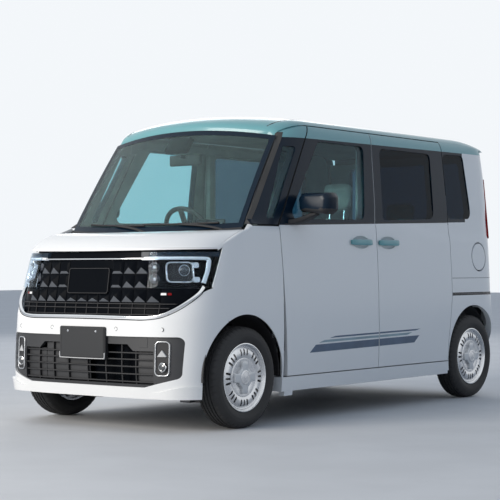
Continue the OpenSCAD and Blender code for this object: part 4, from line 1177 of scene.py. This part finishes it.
# Sides
def build_decal(s, name):
    """Slanted stripes along the lower doors, parted at the door gap."""
    bands = (("broad", -560, 585, 388, 432, slate), ("narrow", -470, 500, 442, 456, slate_pale),
             ("fine", -360, 600, 466, 476, slate))
    for label, y0, y1, z0, z1, mat in bands:
        for part, a, b, body in (("front", y0, split_y - gap / 2 - 2, f"door_{name}"),
                                 ("rear", split_y + gap / 2 + 2, y1, "body")):
            tip = y0 if part == "front" else y1

            def pt(y, v, t, tip=tip, z0=z0, z1=z1):
                z = lerp(z0, z1, v) + 0.012 * (y - y0)
                away = clamp01(1 - abs(y - tip) / 160)
                return side_pt(z, y + 60 * (v - 0.5) * away, t)
            rows, cols = steps(a, b, 40), steps(0, 1, 3)
            panel(f"stripe_{label}_{part}_{name}", sided(s, pt), rows, cols, -0.7, 0.3, mat, body)


def build_handle(s, label, y0, body, node):
    x, z = side_x(0, handle_z) + fit, handle_z
    rings = []
    for u in steps(0, 1, 28):
        e = abs(2 * u - 1)
        out, h, w = 16 - 8 * e ** 6, 18 - 5 * e ** 8, 8.5 - 3 * e ** 8
        ring = rounded(rect(-w, -h, w, h), min(w, h) - 1, 5)
        rings.append([(s * (x + out + a), y0 + 225 * u, z + b) for a, b in ring])
    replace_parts(stack(f"handle_bar_{label}", rings, mint, body, degrees=50), node)
    for i, y in enumerate((y0 + 6, y0 + 185)):
        ring = rounded(rect(y, z - 13, y + 34, z + 13), 6, 4)
        foot = [[(s * (x + d), a, b) for a, b in ring] for d in (-4, 11)]
        stack(f"handle_foot_{label}_{i}", foot, mint, body)


def dish(s, y):
    """Tool for the hand recess behind a handle."""
    x, half_y, half_z, depth = side_x(0, handle_z), 92, 40, 17
    rings = []
    for a in angles(-86, 86, 16):
        ry, rz = half_y * math.cos(a), half_z * math.cos(a)
        rings.append([(s * (x + depth * math.sin(a)), y + ry * math.cos(q), handle_z + rz * math.sin(q))
                      for q in angles(0, 352.5, 47)])
    return tool(*loft(rings), WHITE_ZONE)


def build_mirror(s, name):
    x, y, z, body = side_x(0, belt_z - 40) + fit, door_y1 + 150, belt_z, f"door_{name}"
    outline = rounded([(24, 78), (198, 60), (230, 84), (235, 156), (214, 185), (32, 186), (8, 160),
                       (10, 98)], 15, 5)
    depths = ((-12, 0.56), (-11, 0.66), (-7, 0.78), (1, 0.88), (14, 0.95), (34, 0.99), (60, 1), (88, 0.99),
              (94, 0.965))

    def ring(k, d):
        return [(s * (x + lerp(122, a, k)), y + d, z + lerp(122, b, k)) for a, b in outline]
    verts, faces = loft([ring(k, d) for d, k in depths])
    low = [1 if sum(verts[i][2] for i in f) / len(f) < z + 92 else 0 for f in faces]
    housing = piece(f"mirror_housing_{name}", verts, faces, [black, plastic_black], low, body, 50)
    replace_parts(housing, f"door_mirror_{name}")
    stack(f"mirror_glass_{name}", [ring(0.86, 93), ring(0.86, 95.5), ring(0.84, 96.5)], mirror_silver, body)
    legs = ((-14, (-60, 4, 50, 32)), (14, (-44, 8, 56, 36)), (50, (-10, 22, 62, 52)), (90, (14, 44, 66, 70)),
            (120, (26, 58, 64, 76)))
    foot = [[(s * (x + d), y + a, z + b) for a, b in rounded(rect(*size), 8, 5)] for d, size in legs]
    stack(f"mirror_foot_{name}", foot, plastic_black, body, degrees=50)


def build_trim(s, name):
    """Pillar strip, roof ditch, body line, wheel arch liner, window base strips and rail of one side."""
    strip = sided(s, lambda z, d, t: side_pt(z, screen_edge(z) + d, t))
    rows, cols = steps(belt_z + 30, rail_z + 20, 40), steps(10, 40, 4)
    panel(f"pillar_strip_{name}", strip, rows, cols, -1.2, 3, pillar_grey)
    rows = steps(header_y + 12, roof_end - 2, 70)
    panel(f"roof_ditch_{name}", lambda y, c, t: roof_xyz(y, s * c, t), rows, [0.742, 0.756], -0.7, 4, seal_and_gap_shade)
    rear = sided(s, lambda p, z, t: quarter_pt(z, p, t))
    rows = steps(slide_y1 + 14 - tail_c, 0, 8) + steps(0, 34, 24)[1:]
    # The body line is a thin dark strip on the surface: painted shade of a groove.
    panel(f"body_line_{name}", rear, rows, [806.6, 809.4], -0.25, 2, seal_and_gap_shade)
    turns = ((arch_r + 1, angles(-4, 184, 60)), (arch_r + 6, angles(184, -4, 60)))
    arch_y, arch_z = front_arch
    liner = [(arch_y + r * math.cos(a), arch_z + r * math.sin(a)) for r, turn in turns for a in turn]
    rings = [[(s * x, y, z) for y, z in liner] for x in (476, 705)]
    stack(f"front_liner_{name}", rings, plastic_black, degrees=50)
    for label, y0, y1, body in (("door", door_y1 + 60, split_y - 8, f"door_{name}"),
                                ("slide", split_y + 8, slide_y1 - 8, "body")):
        belt = [(y, belt_at(y) + 3) for y in steps(y0, y1, 30)]
        sweep(f"belt_strip_{label}_{name}", flank_pt(s), belt, 1, bar(9, -3, 2.4), seal_and_gap_shade, body)
    rail = [(y, 702) for y in steps(slide_y1 + 16, y_ra + 262, 24)]
    sweep(f"slide_rail_{name}", flank_pt(s), rail, 11, bar(7, -4, 3), steel)


def build_lid():
    y, z = lid_c
    x = side_x(*lid_c)
    rows, cols = steps(840, 1060, 30), steps(y - 110, y + 110, 30)
    obj = skin("fuel_lid_skin", side_pt, rows, cols, 0, 8, body="fuel_lid")
    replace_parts(carve(obj, [side_tool(disc(*lid_c, lid_r), 1, WHITE_ZONE)]), "fuel_lid")
    neck = [(-6, 36), (6, 36), (8, 33), (8, 22), (14, 21), (14, 6), (13, 1)]
    turned("filler_neck", neck, (x - 30, y + 6, z), (1, 0, 0), plastic_black)
    floor = [(-4, 94), (0, 94), (1, 90), (1, 2)]
    turned("filler_floor", floor, (x - 34, y, z), (1, 0, 0), white, n=72)


# Windscreen, tail and frame behind the doors
def build_screen():
    for i, (s0, s1, arm) in enumerate(((-0.72, 0.02, 0.1), (0.0, 0.78, 0.86))):
        blade = [(0.052 + 0.010 * (s1 - s) / (s1 - s0), s) for s in steps(s0, s1, 24)]
        sweep(f"wiper_blade_{i}", screen_pt, blade, -4, bar(9, -2, 9, 2), plastic_black)
        path = curve([(-0.035, arm), (0.0, arm - 0.10), (0.03, arm - 0.24), (0.055, lerp(s0, s1, 0.5))], 6)
        sweep(f"wiper_arm_{i}", screen_pt, path, -11, bar(13, -3, 6, 2), plastic_black)
    panel("camera_pod", screen_pt, steps(0.80, 0.935, 6), steps(-0.16, 0.10, 8), 6, 40, deep_black)
    y, z = screen_pt(0.80, -0.02, 90)[1:]
    mirror, stem = ((-120, y, z - 40), (116, y + 26, z + 24)), ((-12, y - 40, z + 2), (8, y + 6, z + 20))
    round_edges(block("cabin_mirror", *mirror, plastic_black, 9, slot="cabin_plastic"), 0.4)
    block("cabin_mirror_stem", *stem, plastic_black, 4, slot="cabin_plastic")
    for s, name in SIDES:
        def corner(v, w, t, s=s):
            a, b, k = bonnet_pt(1, w, 0), screen_pt(0, w, 0), smooth((w - 0.8) / 0.19)
            y, z = lerp(a[1] + 9 + 14 * k, b[1] - 0.5, v), lerp(a[2] - 6 - 10 * k, b[2], v)
            return (s * lerp(a[0], b[0], v), y, z - t)
        panel(f"cowl_corner_{name}", corner, steps(0, 1, 6), steps(0.83, 0.99, 8), 0, 18, plastic_black)


def tail_face(x, z, t):
    n, w = tail_n(z), half_w(min(z, rail_z)) - t
    return (x, tail_c + (tail_a(z) - t) * max(0, 1 - (abs(x) / w) ** n) ** (1 / n), z)


def build_tail():
    rows = fine([lamp_z0 - 30, lamp_z0 + 16, 1190, 1204, lamp_z1 - 16, lamp_z1 + 30], 14)
    bands = ((lamp_z0 + 16, 1), (1190, 2), (1204, 1), (lamp_z1 - 16, 0), (9999, 1))

    def zone(i, j):
        z = (rows[i] + rows[i + 1]) / 2
        return next(k for top, k in bands if z < top)
    for s, name in SIDES:
        pt = sided(s, lambda z, a, t: tail_pt(z, math.radians(a), t))
        verts, faces, idx = slab(pt, rows, steps(74, 44, 40), -7, 44, zone, 1)
        obj = piece(f"tail_lamp_{name}", verts, faces, [red_glass, black, lamp_amber], idx)
        lo, hi = sorted((s * (tail_w + gap), s * far_x))
        box = rect(lo, lamp_y + fit, hi, past_rear)
        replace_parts(carve(obj, [prism(box, "z", lamp_z0 + fit, lamp_z1 - fit, None)]), "tail_lamps")
        mark = rounded(rect(s * 560 - 55, 340, s * 560 + 55, 372), 8)
        plate(f"rear_reflector_{name}", mark, tail_face, -2, 4, red_glass, bevel=1)
    face_y = tail_face(0, 900, 0)[1] + 6

    def flat(x, z, t):
        return (x, face_y - t, z)
    holder, sheet = rounded(rect(-176, 796, 176, 976), 12), rounded(rect(-165, 803, 165, 968), 9)
    plate("rear_plate_holder", holder, flat, 2, 12, plastic_black, "tailgate", bevel=2)
    plate("rear_number_plate", sheet, flat, 0, 3, plate_dark, "tailgate", bevel=1)
    panel("tailgate_garnish", tail_face, steps(-330, 330, 30), steps(1000, 1046, 5), -9, 6, black, "tailgate")
    panel("high_stop_lamp", tail_face, steps(-120, 120, 12), [1652, 1668], -3, 8, red_glass, "tailgate")
    blade = [(x, lerp(1182, 1196, (x + 60) / 380)) for x in steps(-60, 320, 24)]
    sweep("rear_wiper_blade", tail_face, blade, 2, bar(8, -1, 9, 2), plastic_black, "tailgate")
    pivot = [(-6, 22), (10, 22), (15, 18), (17, 8), (17.4, 1)]
    turned("rear_wiper_pivot", pivot, *turned_to(tail_face, 0, 1140, -1), plastic_black, "tailgate")
    arm = [(0, 1140), (50, 1160), (110, 1182), (135, 1189)]
    sweep("rear_wiper_arm", tail_face, arm, -12, bar(12, -3, 4, 2), plastic_black, "tailgate")
    panel("rear_bumper_lip", tail_face, steps(-420, 420, 30), steps(232, 292, 4), -4, 8, plastic_black)


def build_frame(s, name):
    """Posts, rail and hinges behind the doors of one side."""
    ring = side_x(0, rail_z) - wall_t - 10
    rail_in, post_in, post_out, front_y = ring - 40, hinge_x - 130, hinge_x - 90, door_yt - 160
    foot_z, sill_top, tie_y = 214, door_z - gap, door_y1 - 130
    split = (split_y - 30, split_y + 30)
    hinge = (hinge_y - 26, hinge_y + 40)
    boxes = (("roof_rail", rail_in, ring, front_y, y_ra - 120, rail_z - 10, rail_z + 36, trim_light),
             ("rail_front", rail_in, ring + 20, front_y, front_y + 65, rail_z - 50, rail_z + 20, trim_light),
             ("rail_rear", rail_in, ring + 25, y_ra - 250, y_ra - 120, rail_z - 5, rail_z + 30, trim_light),
             ("post", rail_in, ring, *split, foot_z, rail_z, trim_light),
             ("post_foot", rail_in, ring + 50, *split, foot_z, sill_top, white),
             ("hinge_post", post_in, post_out, *hinge, foot_z, belt_z - 20, white),
             ("hinge_foot", post_in, hinge_x - 50, *hinge, foot_z, sill_top, white),
             ("pillar_foot", post_in, post_out, tie_y, hinge[1], belt_z - 60, belt_z + 6, trim_dark),
             ("pillar_tie", post_in, hinge_x - 36, tie_y, tie_y + 110, belt_z - 20, belt_z + 14, trim_dark))
    for label, x0, x1, y0, y1, z0, z1, mat in boxes:
        lo, hi = sorted((s * x0, s * x1))
        block(f"frame_{label}_{name}", (lo, y0, z0), (hi, y1, z1), mat, 5, slot="cabin_plastic")
    knuckle = [(-20, 5), (-19, 6), (-0.5, 6), (0, 9), (1, 10), (49, 10), (50, 9), (50.5, 6), (69, 6), (70, 5)]
    for i, z in enumerate(hinge_zs):
        lo, hi = sorted((s * (hinge_x - 92), s * (hinge_x - 4)))
        block(f"hinge_strap_{name}_{i}", (lo, hinge_y - 8, z), (hi, hinge_y + 8, z + 50), steel, 3)
        turned(f"hinge_knuckle_{name}_{i}", knuckle, (s * hinge_x, hinge_y, z), (0, 0, 1), steel, n=32)


# Wheels
def wheel_cap_outline(n=160):
    """A cross of four lobes round a hub, smoothed."""
    lobe_r, lobe_half_w, lobe_turn, hub_r = 89, 25, math.radians(25.5), 58
    raw = []
    for k in range(n):
        a = math.radians(abs((k * 360 / n + 45) % 90 - 45))
        r = min(lobe_r / math.cos(a), lobe_half_w / max(math.sin(a), 0.01)) if a < lobe_turn else hub_r
        raw.append(Vector((r * math.cos(2 * math.pi * k / n), r * math.sin(2 * math.pi * k / n))))
    return [tuple((raw[i - 2] + raw[i - 1] * 2 + raw[i] * 3 + raw[(i + 1) % n] * 2 + raw[(i + 2) % n]) / 9)
            for i in range(n)]


def build_wheels():
    h, b, rim_r = tyre_w / 2, rim_d / 2 + fit, rim_d / 2
    half = [(h - 19.5, b), (h - 19.5, b + 9), (h - 12, b + 16), (h - 4.5, b + 32), (h - 1, b + 44),
            (h, b + 52), (h - 2, b + 57), (h - 1, b + 61), (h - 4, b + 68), (h - 8, b + 77), (h - 13, b + 86),
            (h - 19, tyre_r - 7), (h - 26, tyre_r - 4), (h - 34, tyre_r - 2), (h - 40, tyre_r - 1.2),
            (h - 41, tyre_r - 7), (h - 47, tyre_r - 7), (h - 48, tyre_r - 0.8), (h - 62, tyre_r - 0.2),
            (h - 63, tyre_r - 7), (h - 69, tyre_r - 7), (h - 70, tyre_r)]
    profile = half + [(-a, r) for a, r in reversed(half)]

    def tread(a, r, k):
        """Depth of the cuts across the shoulders and the middle ribs."""
        a = abs(a)
        if h - 40 < a < h - 12 and r > tyre_r - 16:
            return 4.5 if k % 6 == 0 else 0
        return 3 if a < h - 48 and r > tyre_r - 2 and (k + (3 if a < 10 else 0)) % 6 == 0 else 0
    face = [(64.5, rim_r + 10), (64.5, rim_r + 5), (62.5, rim_r + 3), (60, rim_r - 1), (56, rim_r - 4),
            (50, rim_r - 7), (49, rim_r - 11), (53, rim_r - 17), (57.5, rim_r - 24), (60, rim_r - 36),
            (60.5, rim_r - 48), (59, rim_r - 58), (56, 113), (55, 107), (57, 104), (57, 62), (55, 58),
            (55, 31), (45, 31), (45, 70), (47, 107), (48, rim_r - 58), (47, rim_r - 24), (41, rim_r - 15),
            (34, rim_r - 8), (-58, rim_r - 6), (-64.5, rim_r - 2), (-64.5, rim_r + 10),
            (-59, rim_r + 10), (-58, rim_r), (57, rim_r), (58.5, rim_r + 10)]
    centre = (track / 2, y_fa, tyre_r)
    axis = (1, 0, 0)
    tyre = turned("tyre", profile, centre, axis, rubber, None, n=288, closed=True, cut=tread, degrees=40)
    rim = turned("rim", face, centre, axis, silver, None, n=144, closed=True)
    window = rounded(rect(rim_r - 57, -6, rim_r - 20, 6), 5, 4)
    verts, faces = [], []
    for q in (math.radians(45 * i + 11 * j) for i in range(8) for j in (-1, 0, 1)):
        ring = [(math.cos(q) * a - math.sin(q) * c, math.sin(q) * a + math.cos(q) * c) for a, c in window]
        v, f = loft([[(centre[0] + d, centre[1] + a, centre[2] + c) for a, c in ring] for d in (30, 80)])
        faces += [tuple(i + len(verts) for i in face) for face in f]
        verts += v
    carve(rim, cut=[piece("tool", verts, faces, [silver], None, body=None)])
    edge = [(60, rim_r + 10.5), (65.5, rim_r + 10.5), (66.5, rim_r + 8), (66, rim_r + 4.5), (61, rim_r + 2.5)]
    lip = turned("rim_lip", edge, centre, axis, polished, None, n=144, closed=True, degrees=50)
    layers = ((54, 1), (65, 1), (67, 0.985), (68, 0.95), (68.6, 0.8), (69, 0.62))
    rings = [[(centre[0] + d, centre[1] + a * k, centre[2] + c * k) for a, c in wheel_cap_outline()]
             for d, k in layers]
    cap = stack("rim_cap", rings, cap_silver, None, degrees=40)
    dome = [(64, 40), (70, 40), (71.5, 38), (71.5, 33), (70.4, 32), (71, 22), (72, 10), (72.2, 1)]
    hub = turned("rim_cap_middle", dome, centre, axis, silver, None, degrees=40)
    for label, y, s in (("fl", y_fa, 1), ("fr", y_fa, -1), ("rl", y_ra, 1), ("rr", y_ra, -1)):
        spin = Matrix.Rotation(0 if s > 0 else math.pi, 4, "Z")
        there = Matrix.Translation(Vector((s * track / 2, y, tyre_r)) * MM)
        place = there @ spin @ Matrix.Translation(-Vector(centre) * MM)
        for source in (tyre, rim, lip, cap, hub):
            mesh = source.data.copy()
            mesh.transform(place)
            obj = bpy.data.objects.new(f"{source.name}_{label}", mesh)
            bpy.context.scene.collection.objects.link(obj)
            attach(obj, f"wheel_{label}")
            if source in (tyre, rim):
                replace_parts(obj, f"{source.name}_{label}")
    for source in (tyre, rim, lip, cap, hub):
        bpy.data.objects.remove(source)


# Cabin
def thin_axis(half):
    return 1 if half[1] < half[2] else 2


def pad(name, centre, half, lean, node=None):
    """A cushion: a rounded box with crowned faces, leaning back."""
    def power(v, e=0.36):
        return math.copysign(abs(v) ** e, v)
    turn = Matrix.Rotation(math.radians(-lean), 3, "X")
    rings = []
    for a in angles(-87, 87, 40):
        ring = []
        for q in angles(0, 354, 59):
            x, r = power(math.sin(a)), power(math.cos(a))
            y, z = r * power(math.cos(q)), r * power(math.sin(q))
            pull = 1 - 0.05 * (1 - min(1, abs(x * y * z)))
            local = Vector((x * half[0], y * half[1], z * half[2])) * pull
            local[thin_axis(half)] *= 0.84
            ring.append(Vector(centre) + turn @ local)
        rings.append(ring)
    obj = stack(name, rings, fabric, degrees=80)
    if node:
        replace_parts(obj, node)
    return obj, centre, half, turn


def applied(obj):
    made = bpy.data.meshes.new_from_object(obj.evaluated_get(bpy.context.evaluated_depsgraph_get()))
    obj.modifiers.clear()
    obj.data = made


def inflate(pads, cap=0.024, voxel=0.012, pressure=4, frames=20):
    """Swells all pads together with air pressure in a cloth simulation, then keeps the capped result."""
    scene = bpy.context.scene
    for obj, *_ in pads:
        mod = obj.modifiers.new("even mesh", "REMESH")
        mod.mode, mod.voxel_size = "VOXEL", voxel
    bpy.context.view_layer.update()
    for obj, *_ in pads:
        applied(obj)
        cloth = obj.modifiers.new("cloth", "CLOTH")
        cloth.settings.use_pressure = True
        cloth.settings.uniform_pressure_force = pressure
        cloth.settings.effector_weights.gravity = 0
        cloth.point_cache.frame_start, cloth.point_cache.frame_end = 1, frames
    for f in range(1, frames + 1):
        scene.frame_set(f)
    graph = bpy.context.evaluated_depsgraph_get()
    swollen = [[v.co.copy() for v in obj.evaluated_get(graph).data.vertices] for obj, *_ in pads]
    for (obj, *_), places in zip(pads, swollen):
        obj.modifiers.clear()
        for v, place in zip(obj.data.vertices, places):
            move = place - v.co
            v.co += move * min(1, cap / max(move.length, 1e-9))
    scene.frame_set(1)


def sew(obj, centre, half, turn, lines, groove=0.006, groove_w=9, deepest=0.008):
    """Presses sewn channels into a pad: (axis, place) in parts of its half size."""
    back = turn.transposed()
    middle = obj.matrix_world.inverted() @ (Vector(centre) * MM)
    for v in obj.data.vertices:
        local = back @ (v.co - middle)
        depth = sum(groove * math.exp(-((local[k] / MM - half[k] * place) / groove_w) ** 2)
                    for k, place in lines)
        thin = thin_axis(half)
        local[thin] -= math.copysign(min(depth, deepest), local[thin])
        v.co = middle + turn @ local
    mod = obj.modifiers.new("even", "SUBSURF")
    mod.levels = 1
    bpy.context.view_layer.update()
    applied(obj)
    soften(obj.data, 80)


def build_seats():
    y, b = split_y - 0.93 * 0.2 * wheelbase, split_y + 0.01 * 0.2 * wheelbase
    rear = y_ra - 370
    front_y = rear - 0.86 * 0.2 * wheelbase
    foot_z = 215
    pads = []
    for s, name in SIDES:
        seat_x, head_x = s * 305, s * 270
        pads += [pad(f"seat_base_{name}", (seat_x, (y + b) / 2, 632), (236, 226, 60), 0, "front_seats"),
                 pad(f"seat_back_{name}", (seat_x, b + 112, 938), (232, 46, 258), 13.5),
                 pad(f"seat_head_{name}", (seat_x, b + 174, 1330), (106, 36, 90), 8),
                 pad(f"rear_head_{name}", (head_x, rear + 180, 1256), (112, 31, 60), 8)]
        block(f"seat_pan_{name}", (seat_x - 215, y + 40, 500), (seat_x + 215, b + 70, 572), trim_dark, 12)
        for i, x in enumerate((seat_x - 160, seat_x + 160)):
            block(f"seat_leg_{name}_{i}", (x - 22, y + 70, foot_z), (x + 22, b - 50, 506), steel, 6)
        for i, d in enumerate((-55, 55)):
            rise = ((155, 1130), (165, 1200), (176, 1290))
            tube(f"seat_rod_{name}_{i}", [(seat_x + d, b + back, z) for back, z in rise], 7, chrome)
            rise = ((165, 1090), (172, 1150), (180, 1230))
            tube(f"rear_rod_{name}_{i}", [(head_x + d, rear + back, z) for back, z in rise], 6, chrome)
    pads += [pad("rear_base", (0, (front_y + rear) / 2, 608), (506, 206, 58), 0, "rear_seat"),
             pad("rear_back", (0, rear + 116, 890), (506, 44, 240), 15)]
    block("rear_pan", (-480, front_y + 30, 470), (480, rear + 80, 552), trim_dark, 12)
    for i, x in enumerate((-400, 350)):
        block(f"rear_leg_{i}", (x, front_y + 70, foot_z), (x + 50, rear - 30, 480), steel, 6)
    inflate(pads)
    for obj, centre, half, turn in pads:
        seams = () if half[0] < 150 else (-0.56, 0.56) if half[0] < 300 else (-0.62, 0, 0.62)
        sew(obj, centre, half, turn, [(0, seam) for seam in seams] + [(3 - thin_axis(half), 0.35)])


def build_dash():
    line = rounded([(42.3, 908), (250, 714), (330, 700), (400, 820), (430, 1000), (380, 1090), (60, 1130),
                    (42.3, 1100)], 8, 4)
    half = belt_w - 150.5

    def ring(x, k):
        return [(x, screen_y + lerp(250, a, k), lerp(960, b, k)) for a, b in line]
    ends = ((-half, 0.94), (-half + 8, 0.99), (-half + 24, 1), (half - 24, 1), (half - 8, 0.99), (half, 0.94))
    body = stack("dash_body", [ring(x, k) for x, k in ends], trim_dark, degrees=40)
    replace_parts(body, "dashboard")

    def fitting(label, x0, x1, d0, d1, z0, z1, mat, r, lean=0):
        """A block on the dash, with its depths from the foot of the windscreen."""
        block(f"dash_{label}", (x0, screen_y + d0, z0), (x1, screen_y + d1, z1), mat, r, lean=lean)
    fitting("tan_band", -545, 545, 408, 432, 905, 975, trim_tan, 8, 10)
    fitting("shelf", -545, 545, 414, 446, 985, 1004, trim_light, 6)
    fitting("screen", -20, 210, 400, 416, 1030, 1168, black, 6, -14)
    fitting("hood", -480, -205, 268, 392, 1070, 1150, trim_dark, 26)
    for i, x in enumerate((-520, -120, 250, 480)):
        fitting(f"vent_{i}", x - 38, x + 38, 410, 424, 1012, 1052, black, 7, -6)
    centre, tilt = Vector((375.5 - belt_w, y_fa + 776, belt_z - 20)), math.radians(62)
    d = Vector((0, math.sin(tilt), math.cos(tilt)))
    tube("steering_column", [centre - d * k for k in (330, 200, 62)], 34, trim_dark, n=32)
    tube("steering_shaft", [centre - d * k for k in (120, 60, 12)], 15, steel, n=24)
    for s, name in SIDES:
        lo, hi = sorted((s * 612, s * 668))
        block(f"door_armrest_{name}", (lo, -560, 800), (hi, -60, 866), trim_dark, 16, f"door_{name}")


build_roof()
both(build_pillar)
both(build_quarter)
both(build_sill)
both(build_fender)
both(build_door)
both(build_slide_door)
build_bumper()
build_bonnet()
build_tailgate()
build_rear_bumper()
build_glass()
build_grille()
both(build_lamp)
build_intake()
build_lips()
both(build_shoulder)
both(build_decal)
for s, name in SIDES:
    build_handle(s, name, split_y - 290, f"door_{name}", f"door_handle_{name}")
    build_handle(s, f"slide_{name}", split_y + 15, "body", "slide_door_handles")
both(build_mirror)
both(build_trim)
build_lid()
build_screen()
build_tail()
both(build_frame)
build_wheels()
build_seats()
build_dash()


# Solids that no piece replaces
CARRIED = {"floor_pan": under, "cowl": plastic_black, "steering_wheel": trim_dark, "engine": cast,
           "front_suspension": steel, "knuckle_left": cast, "knuckle_right": cast, "rear_axle": steel,
           "fuel_tank": under, "exhaust": steel}
for node, mat in CARRIED.items():
    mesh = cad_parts[node].data
    mesh.materials.clear()
    mesh.materials.append(mat)


# Stage, light and camera
def build_stage():
    mesh = bpy.data.meshes.new("studio floor")
    reach = 40.0
    mesh.from_pydata([(x, y, 0) for x, y in rect(-reach, -reach, reach, reach)], [], [(0, 1, 2, 3)])
    floor = bpy.data.objects.new("studio_floor", mesh)
    bpy.context.scene.collection.objects.link(floor)
    pale = shader("pale floor", (0.62, 0.62, 0.62), 0.7)
    mesh.materials.append(vary(pale, "Base Color", 2, (0.60, 0.60, 0.60), (0.64, 0.64, 0.64)))
    world = bpy.data.worlds.new("studio")
    bpy.context.scene.world = world
    world.use_nodes = True
    nodes, links = world.node_tree.nodes, world.node_tree.links
    soft, shown = nodes["Background"], nodes.new("ShaderNodeBackground")
    soft.inputs["Color"].default_value = (0.62, 0.77, 1.0, 1)
    soft.inputs["Strength"].default_value = 0.46
    shown.inputs["Color"].default_value = (0.90, 0.93, 0.96, 1)
    shown.inputs["Strength"].default_value = 1.0
    path, mix = nodes.new("ShaderNodeLightPath"), nodes.new("ShaderNodeMixShader")
    fac = path.outputs["Is Camera Ray"]
    for ray in ("Is Glossy Ray", "Is Transmission Ray"):
        either = nodes.new("ShaderNodeMath")
        either.operation = "MAXIMUM"
        links.new(fac, either.inputs[0])
        links.new(path.outputs[ray], either.inputs[1])
        fac = either.outputs[0]
    links.new(fac, mix.inputs["Fac"])
    links.new(soft.outputs["Background"], mix.inputs[1])
    links.new(shown.outputs["Background"], mix.inputs[2])
    links.new(mix.outputs["Shader"], nodes["World Output"].inputs["Surface"])


def area_light(name, place, target, size, watts, color):
    data = bpy.data.lights.new(name, "AREA")
    data.shape, data.size, data.energy, data.color = "SQUARE", size, watts, color
    obj = bpy.data.objects.new(name, data)
    bpy.context.scene.collection.objects.link(obj)
    obj.location = place
    obj.rotation_euler = (Vector(target) - Vector(place)).to_track_quat("-Z", "Y").to_euler()


def build_camera():
    """The photograph's camera: place, direction, focal length and framing were fitted to it."""
    place, azimuth, pitch, roll = Vector((5.783, -7.666, 0.875)), 37.32, -0.27, -0.12
    focal_px, centre_px, frame_px, sensor_mm = 1506.4, (261.7, 261.3), 500, 36
    a, p = math.radians(azimuth), math.radians(pitch)
    forward = Vector((-math.sin(a) * math.cos(p), math.cos(a) * math.cos(p), -math.sin(p)))
    data = bpy.data.cameras.new("camera")
    data.sensor_width = sensor_mm
    data.lens = sensor_mm * focal_px / frame_px
    data.shift_x = -(centre_px[0] - frame_px / 2) / frame_px
    data.shift_y = (centre_px[1] - frame_px / 2) / frame_px
    cam = bpy.data.objects.new("camera", data)
    bpy.context.scene.collection.objects.link(cam)
    level = forward.to_track_quat("-Z", "Y").to_matrix()
    cam.rotation_euler = (level @ Matrix.Rotation(math.radians(roll), 3, "Z")).to_euler()
    cam.location = place
    bpy.context.scene.camera = cam


build_stage()
area_light("key", (-2.5, -9.5, 3.8), (0, -1, 0.8), 4.5, 800, (1.0, 0.95, 0.88))
area_light("fill", (8.0, 2.0, 5.0), (0, 0, 0.8), 6, 20, (0.85, 0.92, 1.0))
area_light("back", (-6.0, 7.0, 5.0), (0, 0, 0.9), 5, 160, (1.0, 1.0, 1.0))
build_camera()
bpy.context.scene.view_settings.view_transform = "Standard"
